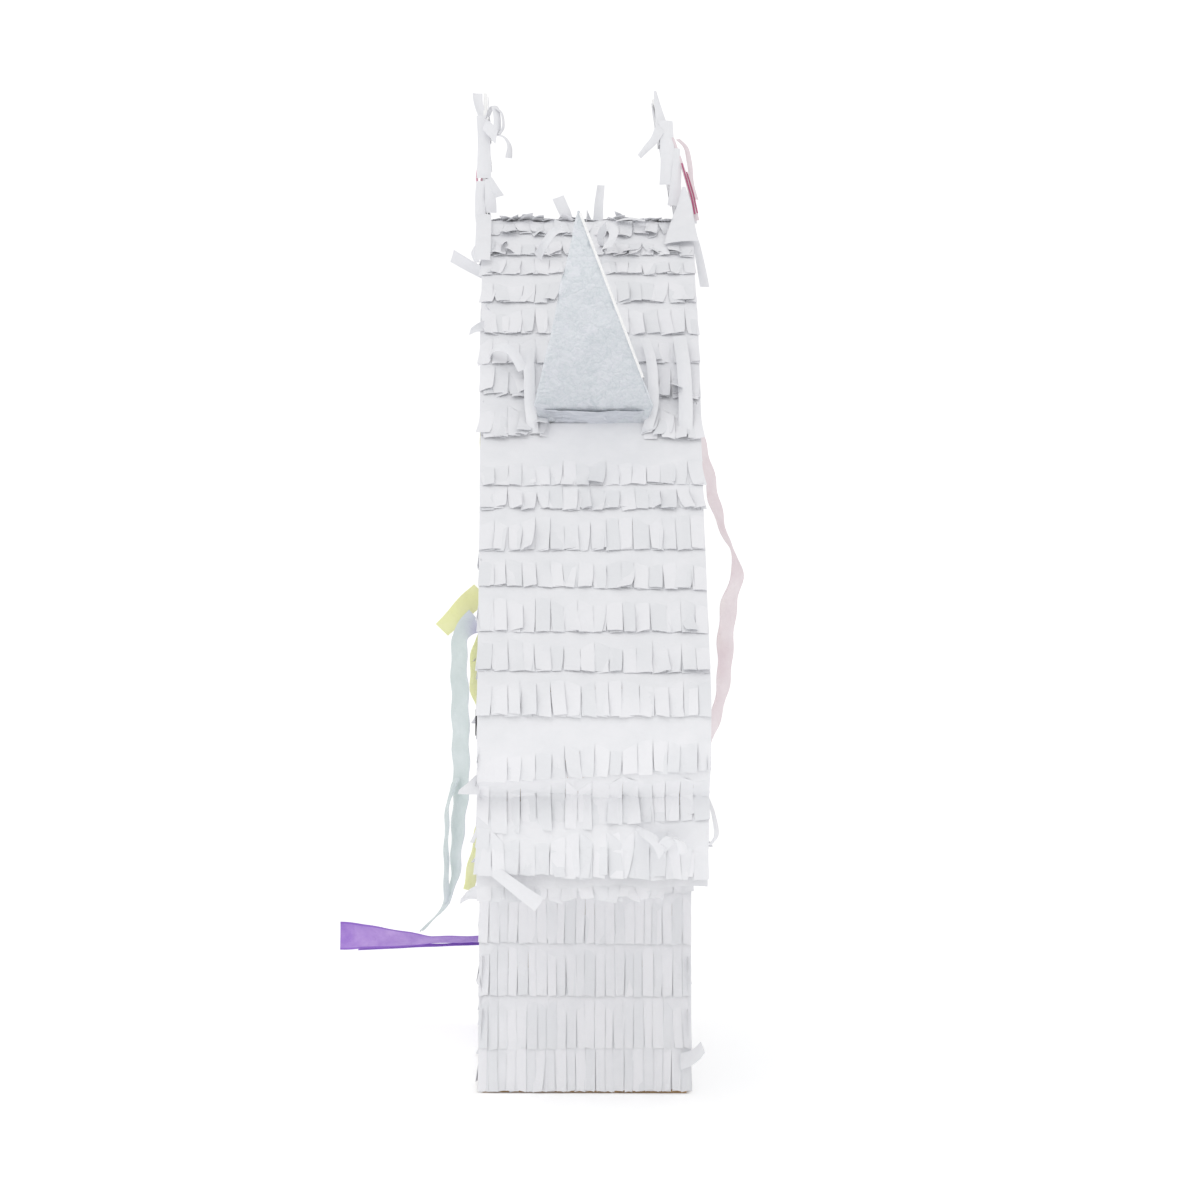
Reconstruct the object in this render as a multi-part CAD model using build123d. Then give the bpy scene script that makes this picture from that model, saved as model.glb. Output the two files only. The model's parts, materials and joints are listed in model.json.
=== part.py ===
"""Unicorn head pinata: a corrugated-board box in the shape of a head and neck, dressed in rows of fringed
crepe paper, with a silver paper horn, two card ears, a fill flap in the crown and a mane of streamers.

Frame, in millimetres: +Z up, the nose points to -Y, +X is on the right of someone who faces the nose.
The origin is the middle of the flat base that the neck stands on.
"""

import math
import os

from build123d import *

# Driving dimensions
HALF_WIDTH = 43.0  # outer face of a side panel, from the middle
BOARD = 3.0  # corrugated board
CREPE = 2.0  # depth that a layer of overlapping crepe rows takes up
CARD = 1.6  # ears
THIN_CARD = 0.8  # eyes, nostrils, glue tabs
TAPE = 0.4
STREAMER = 0.9  # depth that one hanging streamer takes up
ROW_PITCH = 22.0  # from one crepe row to the next
GAP = 0.3  # between rows, and between boards at a crease
FLOOR_GAP = 0.8  # crepe stops this far above what the base stands on

INNER_HALF = HALF_WIDTH - BOARD
SKIN_HALF = HALF_WIDTH + CREPE  # outer face of the crepe on a side panel

# The head's outline in (Y, Z), from the front of the base, round the face and back down the crest
NECK_FRONT = (-95, 0)
THROAT = (-84, 112)
JAW_MIDDLE = (-126, 114)
CHIN_BACK = (-170, 98)
CHIN_BOTTOM = (-191, 102)
CHIN_FRONT = (-203, 120)
MOUTH = (-199, 133)
LIP = (-208, 140)
NOSE_TIP = (-212, 159)
NOSE_ROUND = (-210.3, 170)
BRIDGE = (-203, 179)
FOREHEAD = (-86, 321)
BROW = (-59.6, 349.2)
CROWN_FRONT = (-30, 374)
CROWN_BACK = (42, 374)
CREST_MIDDLE = (93, 250)
CREST_LOW = (108, 105)
NECK_BACK = (95, 0)
CROWN_TOP = CROWN_FRONT[1]

# Horn: a three-sided point that stands square on the forehead, with one flat side to the front and
# a ridge behind; it widens over its collar, and its point leans a little to one side
HORN_WIDTH = 48.0
HORN_DEPTH = 42.0
HORN_COLLAR = 12.0
HORN_COLLAR_TAPER = 0.86
HORN_LENGTH = 103.0
HORN_TIP_UP = -3.0
HORN_FOOT_BELOW = 52.5  # from FOREHEAD down the bridge to the horn's lower edge
HORN_OFFSET = 1.0
HORN_LEAN = -7.9
HORN_CARD = 1.2
HORN_FOIL = 0.6
HORN_TAB = 8.0
HORN_TAB_GAP = 0.5  # from the collar's fold
HORN_TIP_PER_INSET = 6.6  # how much lower the tip is for each millimetre of inset

# Fill flap, cut on three sides of the crown and creased along the fourth
FLAP_FRONT, FLAP_BACK = -9.0, 34.0
FLAP_HALF = 28.0
FLAP_CUT = 0.5
FLAP_TAB = 9.0  # radius of the thumb tab's paper disc
HINGE_SETBACK = 3.6  # bare crease each side of the hinge line

# Two holes for a hanging line, through the crown and the plate glued under it
HANG_Y = -21.0
HANG_HALF_SPACING = 12.0
HANG_RADIUS = 2.5
HANG_CREPE_RADIUS = 4.5  # the crepe is torn clear of the holes
HANG_PLATE = (60.0, 16.0)

# Ears
EAR_MIDDLE_Y = 6.0
EAR_HALF = 21.0
EAR_HEIGHT = 63.0
EAR_TAB = 22.0
EAR_MARGIN = 6.0
EAR_CREASE_BELOW = 0.3
EAR_CREASE_ABOVE = 0.8
EAR_LINING = 0.6
EAR_CREPE = 1.4
EAR_NOTCH = 3.5  # the crown's crepe stops this far from an ear
RIGHT_EAR_LEAN = 14.0  # degrees towards the middle
EAR_X = SKIN_HALF + CARD / 2

EYE_CENTRE = (-104.0, 232.0)
EYE_RADIUS = 17.0
EYE_BAND = 3.0
LASHES = 4
NOSTRIL_CENTRE = (-188.0, 160.0)

YZ = Plane.YZ


def at(*points):
    return [Vector(*p) for p in points]


def face_outline():
    """The closed outline as one wire on the YZ plane, starting at the front of the base."""
    with BuildLine(YZ) as line:
        Line(NECK_FRONT, THROAT)
        ThreePointArc(THROAT, JAW_MIDDLE, CHIN_BACK)
        ThreePointArc(CHIN_BACK, CHIN_BOTTOM, CHIN_FRONT)
        Line(CHIN_FRONT, MOUTH)
        Line(MOUTH, LIP)
        Line(LIP, NOSE_TIP)
        ThreePointArc(NOSE_TIP, NOSE_ROUND, BRIDGE)
        Line(BRIDGE, FOREHEAD)
        ThreePointArc(FOREHEAD, BROW, CROWN_FRONT)
        Line(CROWN_FRONT, CROWN_BACK)
        ThreePointArc(CROWN_BACK, CREST_MIDDLE, CREST_LOW)
        Line(CREST_LOW, NECK_BACK)
        Line(NECK_BACK, NECK_FRONT)
    return line.wire()


OUTLINE = face_outline()
HEAD = make_face(OUTLINE)
INSIDE = offset(HEAD, -BOARD, kind=Kind.INTERSECTION)
OUTSIDE = offset(HEAD, CREPE, kind=Kind.INTERSECTION)


def across(face, low, high):
    """A solid of a YZ face, from X low to X high."""
    return Pos(low, 0, 0) * extrude(face, high - low, dir=(1, 0, 0))


def slot(point, direction, width=GAP, reach=9.0):
    """A narrow YZ rectangle centred on point and running along direction, which cuts a ring."""
    turn = math.degrees(math.atan2(direction[1], direction[0]))
    return YZ * Pos(point[0], point[1]) * Rot(0, 0, turn) * Rectangle(2 * reach, width)


def normal_at(length):
    """The (Y, Z) point at that length along the outline, and the direction square to it there."""
    point = OUTLINE.position_at(length, position_mode=PositionMode.LENGTH)
    along = OUTLINE.tangent_at(length, position_mode=PositionMode.LENGTH)
    return (point.Y, point.Z), (-along.Z, along.Y)


def length_at(corner):
    """How far along the outline a corner is."""
    total = 0.0
    for edge in OUTLINE.edges():
        end = edge.position_at(1)
        total += edge.length
        if math.dist((end.Y, end.Z), corner) < 1e-4:
            return total
    raise ValueError(f"no corner at {corner}")


def crease(corner, before, after):
    """The slot that parts two boards at a corner, along the corner's bisector."""
    first = (Vector(*corner) - Vector(*before)).normalized()
    second = (Vector(*after) - Vector(*corner)).normalized()
    along = (first + second).normalized()
    return slot(corner, (-along.Y, along.X))


def nearest(faces, point):
    target = Vector(0, *point)
    return min(faces, key=lambda face: face.distance_to(target))


def boards():
    """The edge boards between the side panels, one solid for each length between two creases."""
    ring = HEAD - INSIDE
    for cut in (
        crease(NECK_FRONT, NECK_BACK, THROAT),
        crease(THROAT, NECK_FRONT, JAW_MIDDLE),
        crease(CHIN_BACK, JAW_MIDDLE, CHIN_BOTTOM),
        crease(MOUTH, CHIN_FRONT, LIP),
        crease(BRIDGE, NOSE_ROUND, FOREHEAD),
        crease(CROWN_FRONT, BROW, CROWN_BACK),
        crease(CROWN_BACK, CROWN_FRONT, CREST_MIDDLE),
        crease(NECK_BACK, CREST_LOW, NECK_FRONT),
    ):
        ring -= cut
    places = {
        "neck_front_board": (NECK_FRONT[0] / 2 + THROAT[0] / 2 + 1, THROAT[1] / 2),
        "jaw_board": JAW_MIDDLE,
        "chin_board": CHIN_BOTTOM,
        "lip_board": NOSE_TIP,
        "bridge_board": (BRIDGE[0] / 2 + FOREHEAD[0] / 2, BRIDGE[1] / 2 + FOREHEAD[1] / 2),
        "crown_board": (0, CROWN_TOP - 1),
        "crest_board": CREST_MIDDLE,
        "base_board": (0, 1),
    }
    made = {}
    for name, place in places.items():
        board = nearest(ring.faces(), place)
        made[name] = across(board, -INNER_HALF, INNER_HALF)
    return made


def hang_holes(low, high, radius=HANG_RADIUS):
    """The two hanging holes as solids, from Z low to Z high."""
    holes = []
    for side in (-1, 1):
        hole = Cylinder(radius, high - low, align=(Align.CENTER, Align.CENTER, Align.MIN))
        holes.append(Pos(side * HANG_HALF_SPACING, HANG_Y, low) * hole)
    return holes


def plate(x0, x1, y0, y1, z0, z1):
    return Pos(x0, y0, z0) * Box(x1 - x0, y1 - y0, z1 - z0, align=Align.MIN)


def crown_with_opening(crown):
    opening = plate(
        -FLAP_HALF - FLAP_CUT,
        FLAP_HALF + FLAP_CUT,
        FLAP_FRONT - FLAP_CUT,
        FLAP_BACK,
        CROWN_TOP - 2 * BOARD,
        CROWN_TOP + BOARD,
    )
    crown -= opening
    for hole in hang_holes(CROWN_TOP - 2 * BOARD, CROWN_TOP + BOARD):
        crown -= hole
    return crown


def hang_plate():
    width, depth = HANG_PLATE
    made = plate(
        -width / 2,
        width / 2,
        HANG_Y - depth / 2 + 1,
        HANG_Y + depth / 2 + 1,
        CROWN_TOP - 2 * BOARD,
        CROWN_TOP - BOARD,
    )
    for hole in hang_holes(CROWN_TOP - 3 * BOARD, CROWN_TOP + BOARD):
        made -= hole
    return made


def seam_tape(side):
    """Gummed tape folded into the corner between a side panel and the edge boards."""
    width = 8.0
    outer = offset(HEAD, -BOARD, kind=Kind.INTERSECTION)
    under = offset(HEAD, -BOARD - TAPE, kind=Kind.INTERSECTION)
    deep = offset(HEAD, -BOARD - width, kind=Kind.INTERSECTION)
    leg_on_boards = across(outer - under, INNER_HALF - width, INNER_HALF)
    leg_on_panel = across(under - deep, INNER_HALF - TAPE, INNER_HALF)
    tape = leg_on_boards + leg_on_panel
    tape -= plate(
        -HANG_PLATE[0] / 2,
        INNER_HALF,
        HANG_Y - HANG_PLATE[1] / 2,
        HANG_Y + HANG_PLATE[1] / 2 + 2,
        CROWN_TOP - 2 * BOARD - 1,
        CROWN_TOP,
    )
    return tape if side > 0 else mirror(tape, YZ)


def fill_flap():
    flap = plate(
        -FLAP_HALF,
        FLAP_HALF,
        FLAP_FRONT,
        FLAP_BACK - GAP / 2,
        CROWN_TOP - BOARD,
        CROWN_TOP,
    )
    return flap


def flap_crepe():
    """Two short crepe rows on the flap, clear of its crease."""
    rows = []
    start, end = FLAP_FRONT, FLAP_BACK - HINGE_SETBACK
    pitch = (end - start) / 2
    for row in range(2):
        low = start + row * pitch + GAP / 2
        rows.append(
            plate(-FLAP_HALF, FLAP_HALF, low, low + pitch - GAP, CROWN_TOP, CROWN_TOP + CREPE)
        )
    return rows


def flap_pull_tab():
    """A paper tab glued to the front of the flap, to lift it by."""
    disc = Cylinder(FLAP_TAB, THIN_CARD, align=(Align.CENTER, Align.CENTER, Align.MIN))
    keep = plate(-FLAP_TAB, FLAP_TAB, FLAP_FRONT + 1, FLAP_FRONT + 2 * FLAP_TAB, 0, THIN_CARD)
    return Pos(0, 0, CROWN_TOP + CREPE) * ((Pos(0, FLAP_FRONT + 4, 0) * disc) & keep)


def row_stations():
    """Where one crepe row ends and the next begins, as lengths along the outline."""
    bridge, crown = length_at(BRIDGE), length_at(CROWN_FRONT)
    slope_rows = round((crown - bridge) / ROW_PITCH)
    slope_pitch = (crown - bridge) / slope_rows
    neck = [k * ROW_PITCH - 2 for k in range(1, 6)]
    jaw_start, jaw_end = length_at(THROAT), length_at(CHIN_BACK)
    jaw = [jaw_start + (jaw_end - jaw_start) * k / 4 for k in range(5)]
    muzzle = [length_at(CHIN_FRONT) - 4, length_at(MOUTH), length_at(NOSE_TIP) - 12]
    slope = [bridge - 10 + slope_pitch * k for k in range(slope_rows)] + [crown]
    back = [length_at(CROWN_BACK)]
    crest = length_at(NECK_BACK) - back[0]
    crest_rows = round(crest / ROW_PITCH)
    back += [back[0] + crest * k / crest_rows for k in range(1, crest_rows)]
    return neck + jaw + muzzle + slope + back


def edge_crepe():
    """Crepe rows on the edge boards, grouped by the board that they are glued to."""
    ring = OUTSIDE - HEAD
    ring &= YZ * Pos(0, 250 + FLOOR_GAP) * Rectangle(600, 500)
    for station in row_stations():
        point, direction = normal_at(station)
        ring -= slot(point, direction, reach=5.0)
    groups = {"neck_front": [], "jaw": [], "face": [], "crest": []}
    crown_rows = []
    for face in ring.faces():
        middle = face.center()
        row = across(face, -SKIN_HALF, SKIN_HALF)
        if middle.Z > CROWN_TOP and CROWN_FRONT[0] < middle.Y < CROWN_BACK[0]:
            crown_rows.append(row)
        elif middle.Y > 0:
            groups["crest"].append(row)
        elif middle.Z < THROAT[1] and middle.Y > THROAT[0] - 14:
            groups["neck_front"].append(row)
        elif middle.Z < JAW_MIDDLE[1] and middle.Y > CHIN_BACK[0]:
            groups["jaw"].append(row)
        else:
            groups["face"].append(row)
    return groups, crown_rows


def crown_crepe(rows):
    """The crown's own crepe: round the flap and its crease, with the hanging holes left open."""
    window = plate(
        -FLAP_HALF - FLAP_CUT,
        FLAP_HALF + FLAP_CUT,
        FLAP_FRONT - FLAP_CUT,
        FLAP_BACK + HINGE_SETBACK,
        CROWN_TOP - 1,
        CROWN_TOP + 2 * CREPE,
    )
    depth = 2 * EAR_HALF + 6
    ear_windows = [
        Pos(side * SKIN_HALF, EAR_MIDDLE_Y, CROWN_TOP) * Box(EAR_NOTCH * 2, depth, 4 * CREPE)
        for side in (-1, 1)
    ]
    kept = []
    for row in rows:
        row -= window
        for ear_window in ear_windows:
            row -= ear_window
        for hole in hang_holes(CROWN_TOP - 1, CROWN_TOP + 2 * CREPE, HANG_CREPE_RADIUS):
            row -= hole
        kept += row.solids()
    return kept


def horn_plane():
    """On the forehead at the middle of the horn's foot, with Z along the horn and Y up the bridge."""
    up = (Vector(0, *FOREHEAD) - Vector(0, *BRIDGE)).normalized()
    out = Vector(0, -up.Z, up.Y)
    foot = Vector(HORN_OFFSET, *FOREHEAD) - up * (HORN_FOOT_BELOW - HORN_DEPTH / 2)
    return Plane(origin=foot, x_dir=(1, 0, 0), z_dir=out)


HORN = horn_plane()


def horn_triangle(scale_by, inset=0.0):
    """The horn's section: its flat side is the lower edge, which stays put as the section is scaled."""
    low = -HORN_DEPTH / 2
    half = scale_by * HORN_WIDTH / 2
    corners = [(-half, low), (half, low), (0, low + scale_by * HORN_DEPTH)]
    section = make_face(Polyline(*corners, close=True))
    return offset(section, -inset, kind=Kind.INTERSECTION) if inset else section


def horn_body(inset):
    """The horn's collar and point as one solid, inset all round."""
    foot = horn_triangle(HORN_COLLAR_TAPER, inset)
    shoulder = Pos(0, 0, HORN_COLLAR) * horn_triangle(1, inset)
    tip_height = HORN_LENGTH - HORN_TIP_PER_INSET * inset
    tip = Pos(HORN_LEAN, HORN_TIP_UP + HORN_DEPTH / 2, tip_height) * horn_triangle(0.01)
    return loft([foot, shoulder]) + loft([shoulder, tip])


def horn_parts():
    outer = horn_body(0)
    middle = horn_body(HORN_FOIL)
    inner = horn_body(HORN_FOIL + HORN_CARD)
    return {"horn_foil": HORN * (outer - middle), "horn_card": HORN * (middle - inner)}


def horn_edges():
    """The foot's three edges in the horn's plane, each as its middle, its angle and its length."""
    low = -HORN_DEPTH / 2
    half = HORN_COLLAR_TAPER * HORN_WIDTH / 2
    top = low + HORN_COLLAR_TAPER * HORN_DEPTH
    corners = [(-half, low), (half, low), (0, top)]
    edges = []
    for start, end in zip(corners, corners[1:] + corners[:1]):
        middle = ((start[0] + end[0]) / 2, (start[1] + end[1]) / 2)
        angle = math.degrees(math.atan2(end[1] - start[1], end[0] - start[0]))
        edges.append((middle, angle, math.dist(start, end)))
    return edges


def horn_tabs():
    """The three glue tabs that fold out from the horn's foot."""
    tabs = []
    for middle, angle, length in horn_edges():
        tab = Box(length - 8, HORN_TAB, THIN_CARD, align=(Align.CENTER, Align.MAX, Align.MIN))
        tabs.append(HORN * Pos(*middle) * Rot(0, 0, angle) * Pos(0, -HORN_TAB_GAP, 0) * tab)
    return tabs


def horn_window():
    """What the face's crepe leaves free for the horn's foot and its tabs."""
    clear = 0.4
    window = None
    for middle, angle, length in horn_edges():
        block = Box(length, 2 * (HORN_TAB + HORN_TAB_GAP + clear), 6 * CREPE)
        block = HORN * Pos(*middle) * Rot(0, 0, angle) * block
        window = block if window is None else window + block
    shaft = offset(horn_triangle(1), clear, kind=Kind.INTERSECTION)
    return window + HORN * Pos(0, 0, -3 * CREPE) * extrude(shaft, 6 * CREPE)


def ear_outline(margin=0.0):
    """A pointed leaf on the YZ plane, whose crease is at Z = 0."""
    half = EAR_HALF - margin
    top = EAR_HEIGHT - 2.2 * margin
    low = -EAR_TAB + 1.5 * margin
    with BuildSketch(YZ) as leaf:
        with BuildLine():
            ThreePointArc((-half * 0.75, low), (-half * 1.05, top * 0.12), (0, top))
            ThreePointArc((0, top), (half * 1.05, top * 0.12), (half * 0.75, low))
            Line((half * 0.75, low), (-half * 0.75, low))
        make_face()
    return leaf.sketch


def ear(side, lean):
    """The glued tab, and the free blade with its lining outside and its crepe inside."""
    above = YZ * Pos(0, 100 + EAR_CREASE_ABOVE) * Rectangle(200, 200)
    below = YZ * Pos(0, -100 - EAR_CREASE_BELOW) * Rectangle(200, 200)
    leaf, lining = ear_outline(), ear_outline(EAR_MARGIN) & above
    card = across(leaf & above, -CARD / 2, CARD / 2)
    pink = across(lining, CARD / 2, CARD / 2 + EAR_LINING)
    crepe_face = leaf & (YZ * Pos(0, 100 + 4.0) * Rectangle(200, 200))
    white = across(crepe_face, -CARD / 2 - EAR_CREPE, -CARD / 2)
    tab = across(leaf & below, -CARD / 2, CARD / 2)
    place = Pos(side * EAR_X, EAR_MIDDLE_Y, CROWN_TOP)
    turn = Rot(0, -side * lean, 0)
    facing = Rot(0, 0, 0) if side > 0 else Rot(0, 0, 180)
    return {
        "tab": place * facing * tab,
        "card": place * turn * facing * card,
        "lining": place * turn * facing * pink,
        "crepe": place * turn * facing * white,
    }


def eye(side):
    """A closed lid as a curved band, with lashes below it, in black card."""
    parts = []
    centre = Pos(*EYE_CENTRE)
    lower = Circle(EYE_RADIUS) - Circle(EYE_RADIUS - EYE_BAND)
    lid = lower & (Pos(0, -EYE_RADIUS * 0.72) * Rectangle(4 * EYE_RADIUS, EYE_RADIUS))
    parts.append(YZ * centre * lid)
    for lash in range(LASHES):
        angle = -150 + lash * 40
        blade = Pos(EYE_RADIUS + 3.2, 0) * Trapezoid(3.0, 8.0, 80, rotation=-90)
        parts.append(YZ * centre * Rot(0, 0, angle) * blade)
    sketch = parts[0]
    for part in parts[1:]:
        sketch += part
    low = SKIN_HALF if side > 0 else -SKIN_HALF - THIN_CARD
    return across(sketch, low, low + THIN_CARD)


def nostril(side):
    sketch = YZ * Pos(*NOSTRIL_CENTRE) * Rot(0, 0, 60) * Ellipse(5.5, 3.6)
    low = SKIN_HALF if side > 0 else -SKIN_HALF - THIN_CARD
    return across(sketch, low, low + THIN_CARD)


def side_crepe(side):
    """Level crepe rows over a side panel."""
    rows = []
    count = math.ceil(CROWN_TOP / ROW_PITCH)
    for row in range(count):
        low = FLOOR_GAP + row * ROW_PITCH
        high = min((row + 1) * ROW_PITCH - GAP + FLOOR_GAP, CROWN_TOP)
        band = YZ * Pos(0, (low + high) / 2) * Rectangle(600, high - low)
        start = HALF_WIDTH if side > 0 else -SKIN_HALF
        rows += across(HEAD & band, start, start + CREPE).solids()
    return rows


def crest_y(z):
    """Y of the crest at a height."""
    reach = YZ * Pos(200, z) * Rectangle(400, 0.2)
    return (HEAD & reach).bounding_box().max.Y


# Streamers down the sides: the colour, the side, Y of the middle, the top, the length and the layer
SIDE_STREAMERS = [
    ("pink", -1, 44.0, 346.0, 190.0, 0),
    ("mint", -1, 62.0, 312.0, 230.0, 0),
    ("purple", -1, 80.0, 252.0, 190.0, 0),
    ("yellow", -1, 53.0, 330.0, 150.0, 1),
    ("yellow", 1, 44.0, 346.0, 210.0, 0),
    ("purple", 1, 62.0, 312.0, 200.0, 0),
    ("mint", 1, 80.0, 252.0, 200.0, 0),
]
SIDE_WIDTH = 16.0

# Streamers down the back: the colour, X of the middle, the top and the length
BACK_STREAMERS = [
    ("pink", -33.0, 340.0, 250.0),
    ("yellow", -11.0, 300.0, 235.0),
    ("mint", 11.0, 330.0, 265.0),
    ("purple", 33.0, 290.0, 205.0),
]
BACK_WIDTH = 18.0

# Streamers that stand out at the sides: their (X, Z) path, the front of their width and the width
OUT_STREAMERS = {
    "streamer_yellow_out": ([(-46, 224), (-51, 213), (-66.5, 191), (-60, 187)], 92.0, 14.0),
    "streamer_mint_out": (
        [(-47.5, 208), (-55, 192), (-55.6, 150), (-55.4, 116), (-60, 86), (-62, 62), (-75, 49)],
        76.0,
        13.0,
    ),
    "streamer_yellow_low": (
        [(-46.5, 186), (-51.5, 176), (-53.3, 150), (-52, 110), (-51.7, 66)],
        91.0,
        12.0,
    ),
    "streamer_pink_out": (
        [(47, 300), (58, 284), (66, 254), (75.6, 222), (70.8, 192), (69, 170), (62, 140), (55, 124)],
        60.0,
        12.0,
    ),
}
RIBBON = [(-46.2, 45.5), (-46.2, 48), (-112, 53.7), (-113, 40.5)]
RIBBON_Y = 66.0


def side_streamer(side, middle, top, length, layer):
    start = SKIN_HALF + 0.2 + layer * (STREAMER + 0.4)
    low = start if side > 0 else -start - STREAMER
    return plate(low, low + STREAMER, middle - SIDE_WIDTH / 2, middle + SIDE_WIDTH / 2, top - length, top)


def back_streamer(middle, top, length):
    """It is glued to the crest at its top, and hangs straight down behind the widest point below that."""
    glue = crest_y(top) + CREPE + 2.2
    hang = max(crest_y(z) for z in (top - length, 105, 150, 200) if z < top) + CREPE + 4
    bottom = top - length
    shoulder = top - 1.6 * (hang - glue) - 12
    with BuildSketch(YZ) as path:
        with BuildLine():
            edge = Polyline((glue, top), (hang, shoulder), (hang, bottom))
            offset(edge, STREAMER, side=Side.LEFT)
        make_face()
    return across(path.sketch, middle - BACK_WIDTH / 2, middle + BACK_WIDTH / 2)


def out_streamer(path, front, width):
    """A streamer whose (X, Z) path stands out from the side, as wide along Y as the paper is cut."""
    with BuildSketch(Plane.XZ) as flat:
        with BuildLine():
            Polyline(*path)
        trace(line_width=STREAMER)
    return Pos(0, front, 0) * extrude(flat.sketch, width, dir=(0, 1, 0))


def side_ribbon():
    """The shiny ribbon that stands out level at the foot of the mane."""
    with BuildSketch(Plane.XZ) as flat:
        Polygon(*RIBBON, align=None)
    return Pos(0, RIBBON_Y, 0) * extrude(flat.sketch, 1.4, dir=(0, 1, 0))


def mane_binding(side):
    """The folded paper strip that holds the streamers' top ends along the edge of the crest."""
    inner = offset(HEAD, -9, kind=Kind.INTERSECTION)
    band = HEAD - inner
    keep = YZ * Pos(100, 292) * Rectangle(136, 130)
    strip = band & keep
    start = SKIN_HALF if side > 0 else -SKIN_HALF - 0.2
    return across(strip, start, start + 0.2)


def all_parts():
    parts = {
        "side_panel_left": across(HEAD, -HALF_WIDTH, -INNER_HALF),
        "side_panel_right": across(HEAD, INNER_HALF, HALF_WIDTH),
        "hang_plate": hang_plate(),
        "seam_tape_left": seam_tape(-1),
        "seam_tape_right": seam_tape(1),
        "fill_flap_board": fill_flap(),
        "fill_flap_crepe": flap_crepe(),
        "fill_flap_pull_tab": flap_pull_tab(),
        "horn_tabs": horn_tabs(),
        "crepe_side_left": side_crepe(-1),
        "crepe_side_right": side_crepe(1),
        "eye_left": eye(-1),
        "eye_right": eye(1),
        "nostril_left": nostril(-1),
        "nostril_right": nostril(1),
        "mane_binding_left": mane_binding(-1),
        "mane_binding_right": mane_binding(1),
        "ribbon_purple": side_ribbon(),
    }
    parts |= boards()
    parts["crown_board"] = crown_with_opening(parts["crown_board"])
    parts |= horn_parts()

    groups, crown_rows = edge_crepe()
    window = horn_window()
    groups["face"] = [solid for row in groups["face"] for solid in (row - window).solids()]
    for place, rows in groups.items():
        parts[f"crepe_{place}"] = rows
    parts["crepe_crown"] = crown_crepe(crown_rows)

    for name, side, lean in (("left", -1, 0.0), ("right", 1, RIGHT_EAR_LEAN)):
        for piece, solid in ear(side, lean).items():
            parts[f"ear_{name}_{piece}"] = solid

    for colour, side, middle, top, length, layer in SIDE_STREAMERS:
        name = f"streamer_{colour}_{'right' if side > 0 else 'left'}"
        name += "_over" if layer else ""
        parts[name] = side_streamer(side, middle, top, length, layer)
    for colour, middle, top, length in BACK_STREAMERS:
        parts[f"streamer_{colour}_back"] = back_streamer(middle, top, length)
    for name, (path, front, width) in OUT_STREAMERS.items():
        parts[name] = out_streamer(path, front, width)
    return parts


def write(parts):
    os.makedirs("parts", exist_ok=True)
    for name, shape in parts.items():
        if isinstance(shape, list):
            shape = Compound(children=[s for row in shape for s in row.solids()])
        export_step(shape, f"parts/{name}.step")
    print(len(parts), "nodes written")


write(all_parts())
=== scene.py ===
# %% [markdown]
# # A unicorn head pinata
# The object is a flat corrugated-board head, about 90 mm thick, dressed in rows of fringed tissue
# paper. It has a silver paper horn, two folding card ears, a fill flap in its crown and a mane of
# tissue streamers. The board structure comes from the CAD frame. Everything that the eye sees of
# paper is made here: rows whose cuts curl one by one, ribbons that follow a smooth line, and a
# crumpled foil horn.
#
# Lengths are in metres. +Z is up, the nose points to -Y and +X is on the viewer's right.

# %% Load the frame
import bisect
import json
import math
import random

import bmesh
import bpy
from mathutils import Matrix, Vector

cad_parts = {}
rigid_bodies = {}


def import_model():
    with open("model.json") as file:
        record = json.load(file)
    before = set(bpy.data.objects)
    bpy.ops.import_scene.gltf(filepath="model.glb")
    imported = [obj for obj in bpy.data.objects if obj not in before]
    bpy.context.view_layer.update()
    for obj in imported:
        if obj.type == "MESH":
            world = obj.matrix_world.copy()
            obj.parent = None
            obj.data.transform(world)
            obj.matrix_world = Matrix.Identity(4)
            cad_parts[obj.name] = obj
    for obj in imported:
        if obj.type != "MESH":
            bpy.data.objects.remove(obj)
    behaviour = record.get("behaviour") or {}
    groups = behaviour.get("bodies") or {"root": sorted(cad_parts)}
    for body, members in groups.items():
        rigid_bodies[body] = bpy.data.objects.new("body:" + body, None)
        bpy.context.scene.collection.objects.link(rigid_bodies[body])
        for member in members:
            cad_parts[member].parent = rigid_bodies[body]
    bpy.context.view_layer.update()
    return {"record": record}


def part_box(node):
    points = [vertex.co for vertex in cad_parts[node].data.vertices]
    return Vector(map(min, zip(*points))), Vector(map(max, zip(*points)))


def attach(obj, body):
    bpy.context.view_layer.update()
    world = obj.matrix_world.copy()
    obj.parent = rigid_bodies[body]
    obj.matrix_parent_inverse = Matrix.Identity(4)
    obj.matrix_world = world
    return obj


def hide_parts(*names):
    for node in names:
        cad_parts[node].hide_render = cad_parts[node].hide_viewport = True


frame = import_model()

MM = 0.001

# %% [markdown]
# ## The outline of the head
# The head is one shape cut twice from board. Every paper row is glued along that outline, so the
# script needs to know where the outline is and which way is out at any length along it. It starts
# at the front of the base, goes up the throat, round the chin and face to the crown, and comes
# down the crest.

# %% Outline points
OUTLINE_STEP = 0.5 * MM

OUTLINE_RUNS = [
    [(-95, 0), (-84, 112)],
    [(-84, 112), (-126, 114), (-170, 98)],
    [(-170, 98), (-191, 102), (-203, 120)],
    [(-203, 120), (-199, 133)],
    [(-199, 133), (-208, 140)],
    [(-208, 140), (-212, 159)],
    [(-212, 159), (-210.3, 170), (-203, 179)],
    [(-203, 179), (-86, 321)],
    [(-86, 321), (-59.6, 349.2), (-30, 374)],
    [(-30, 374), (42, 374)],
    [(42, 374), (93, 250), (108, 105)],
    [(108, 105), (95, 0)],
]


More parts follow.
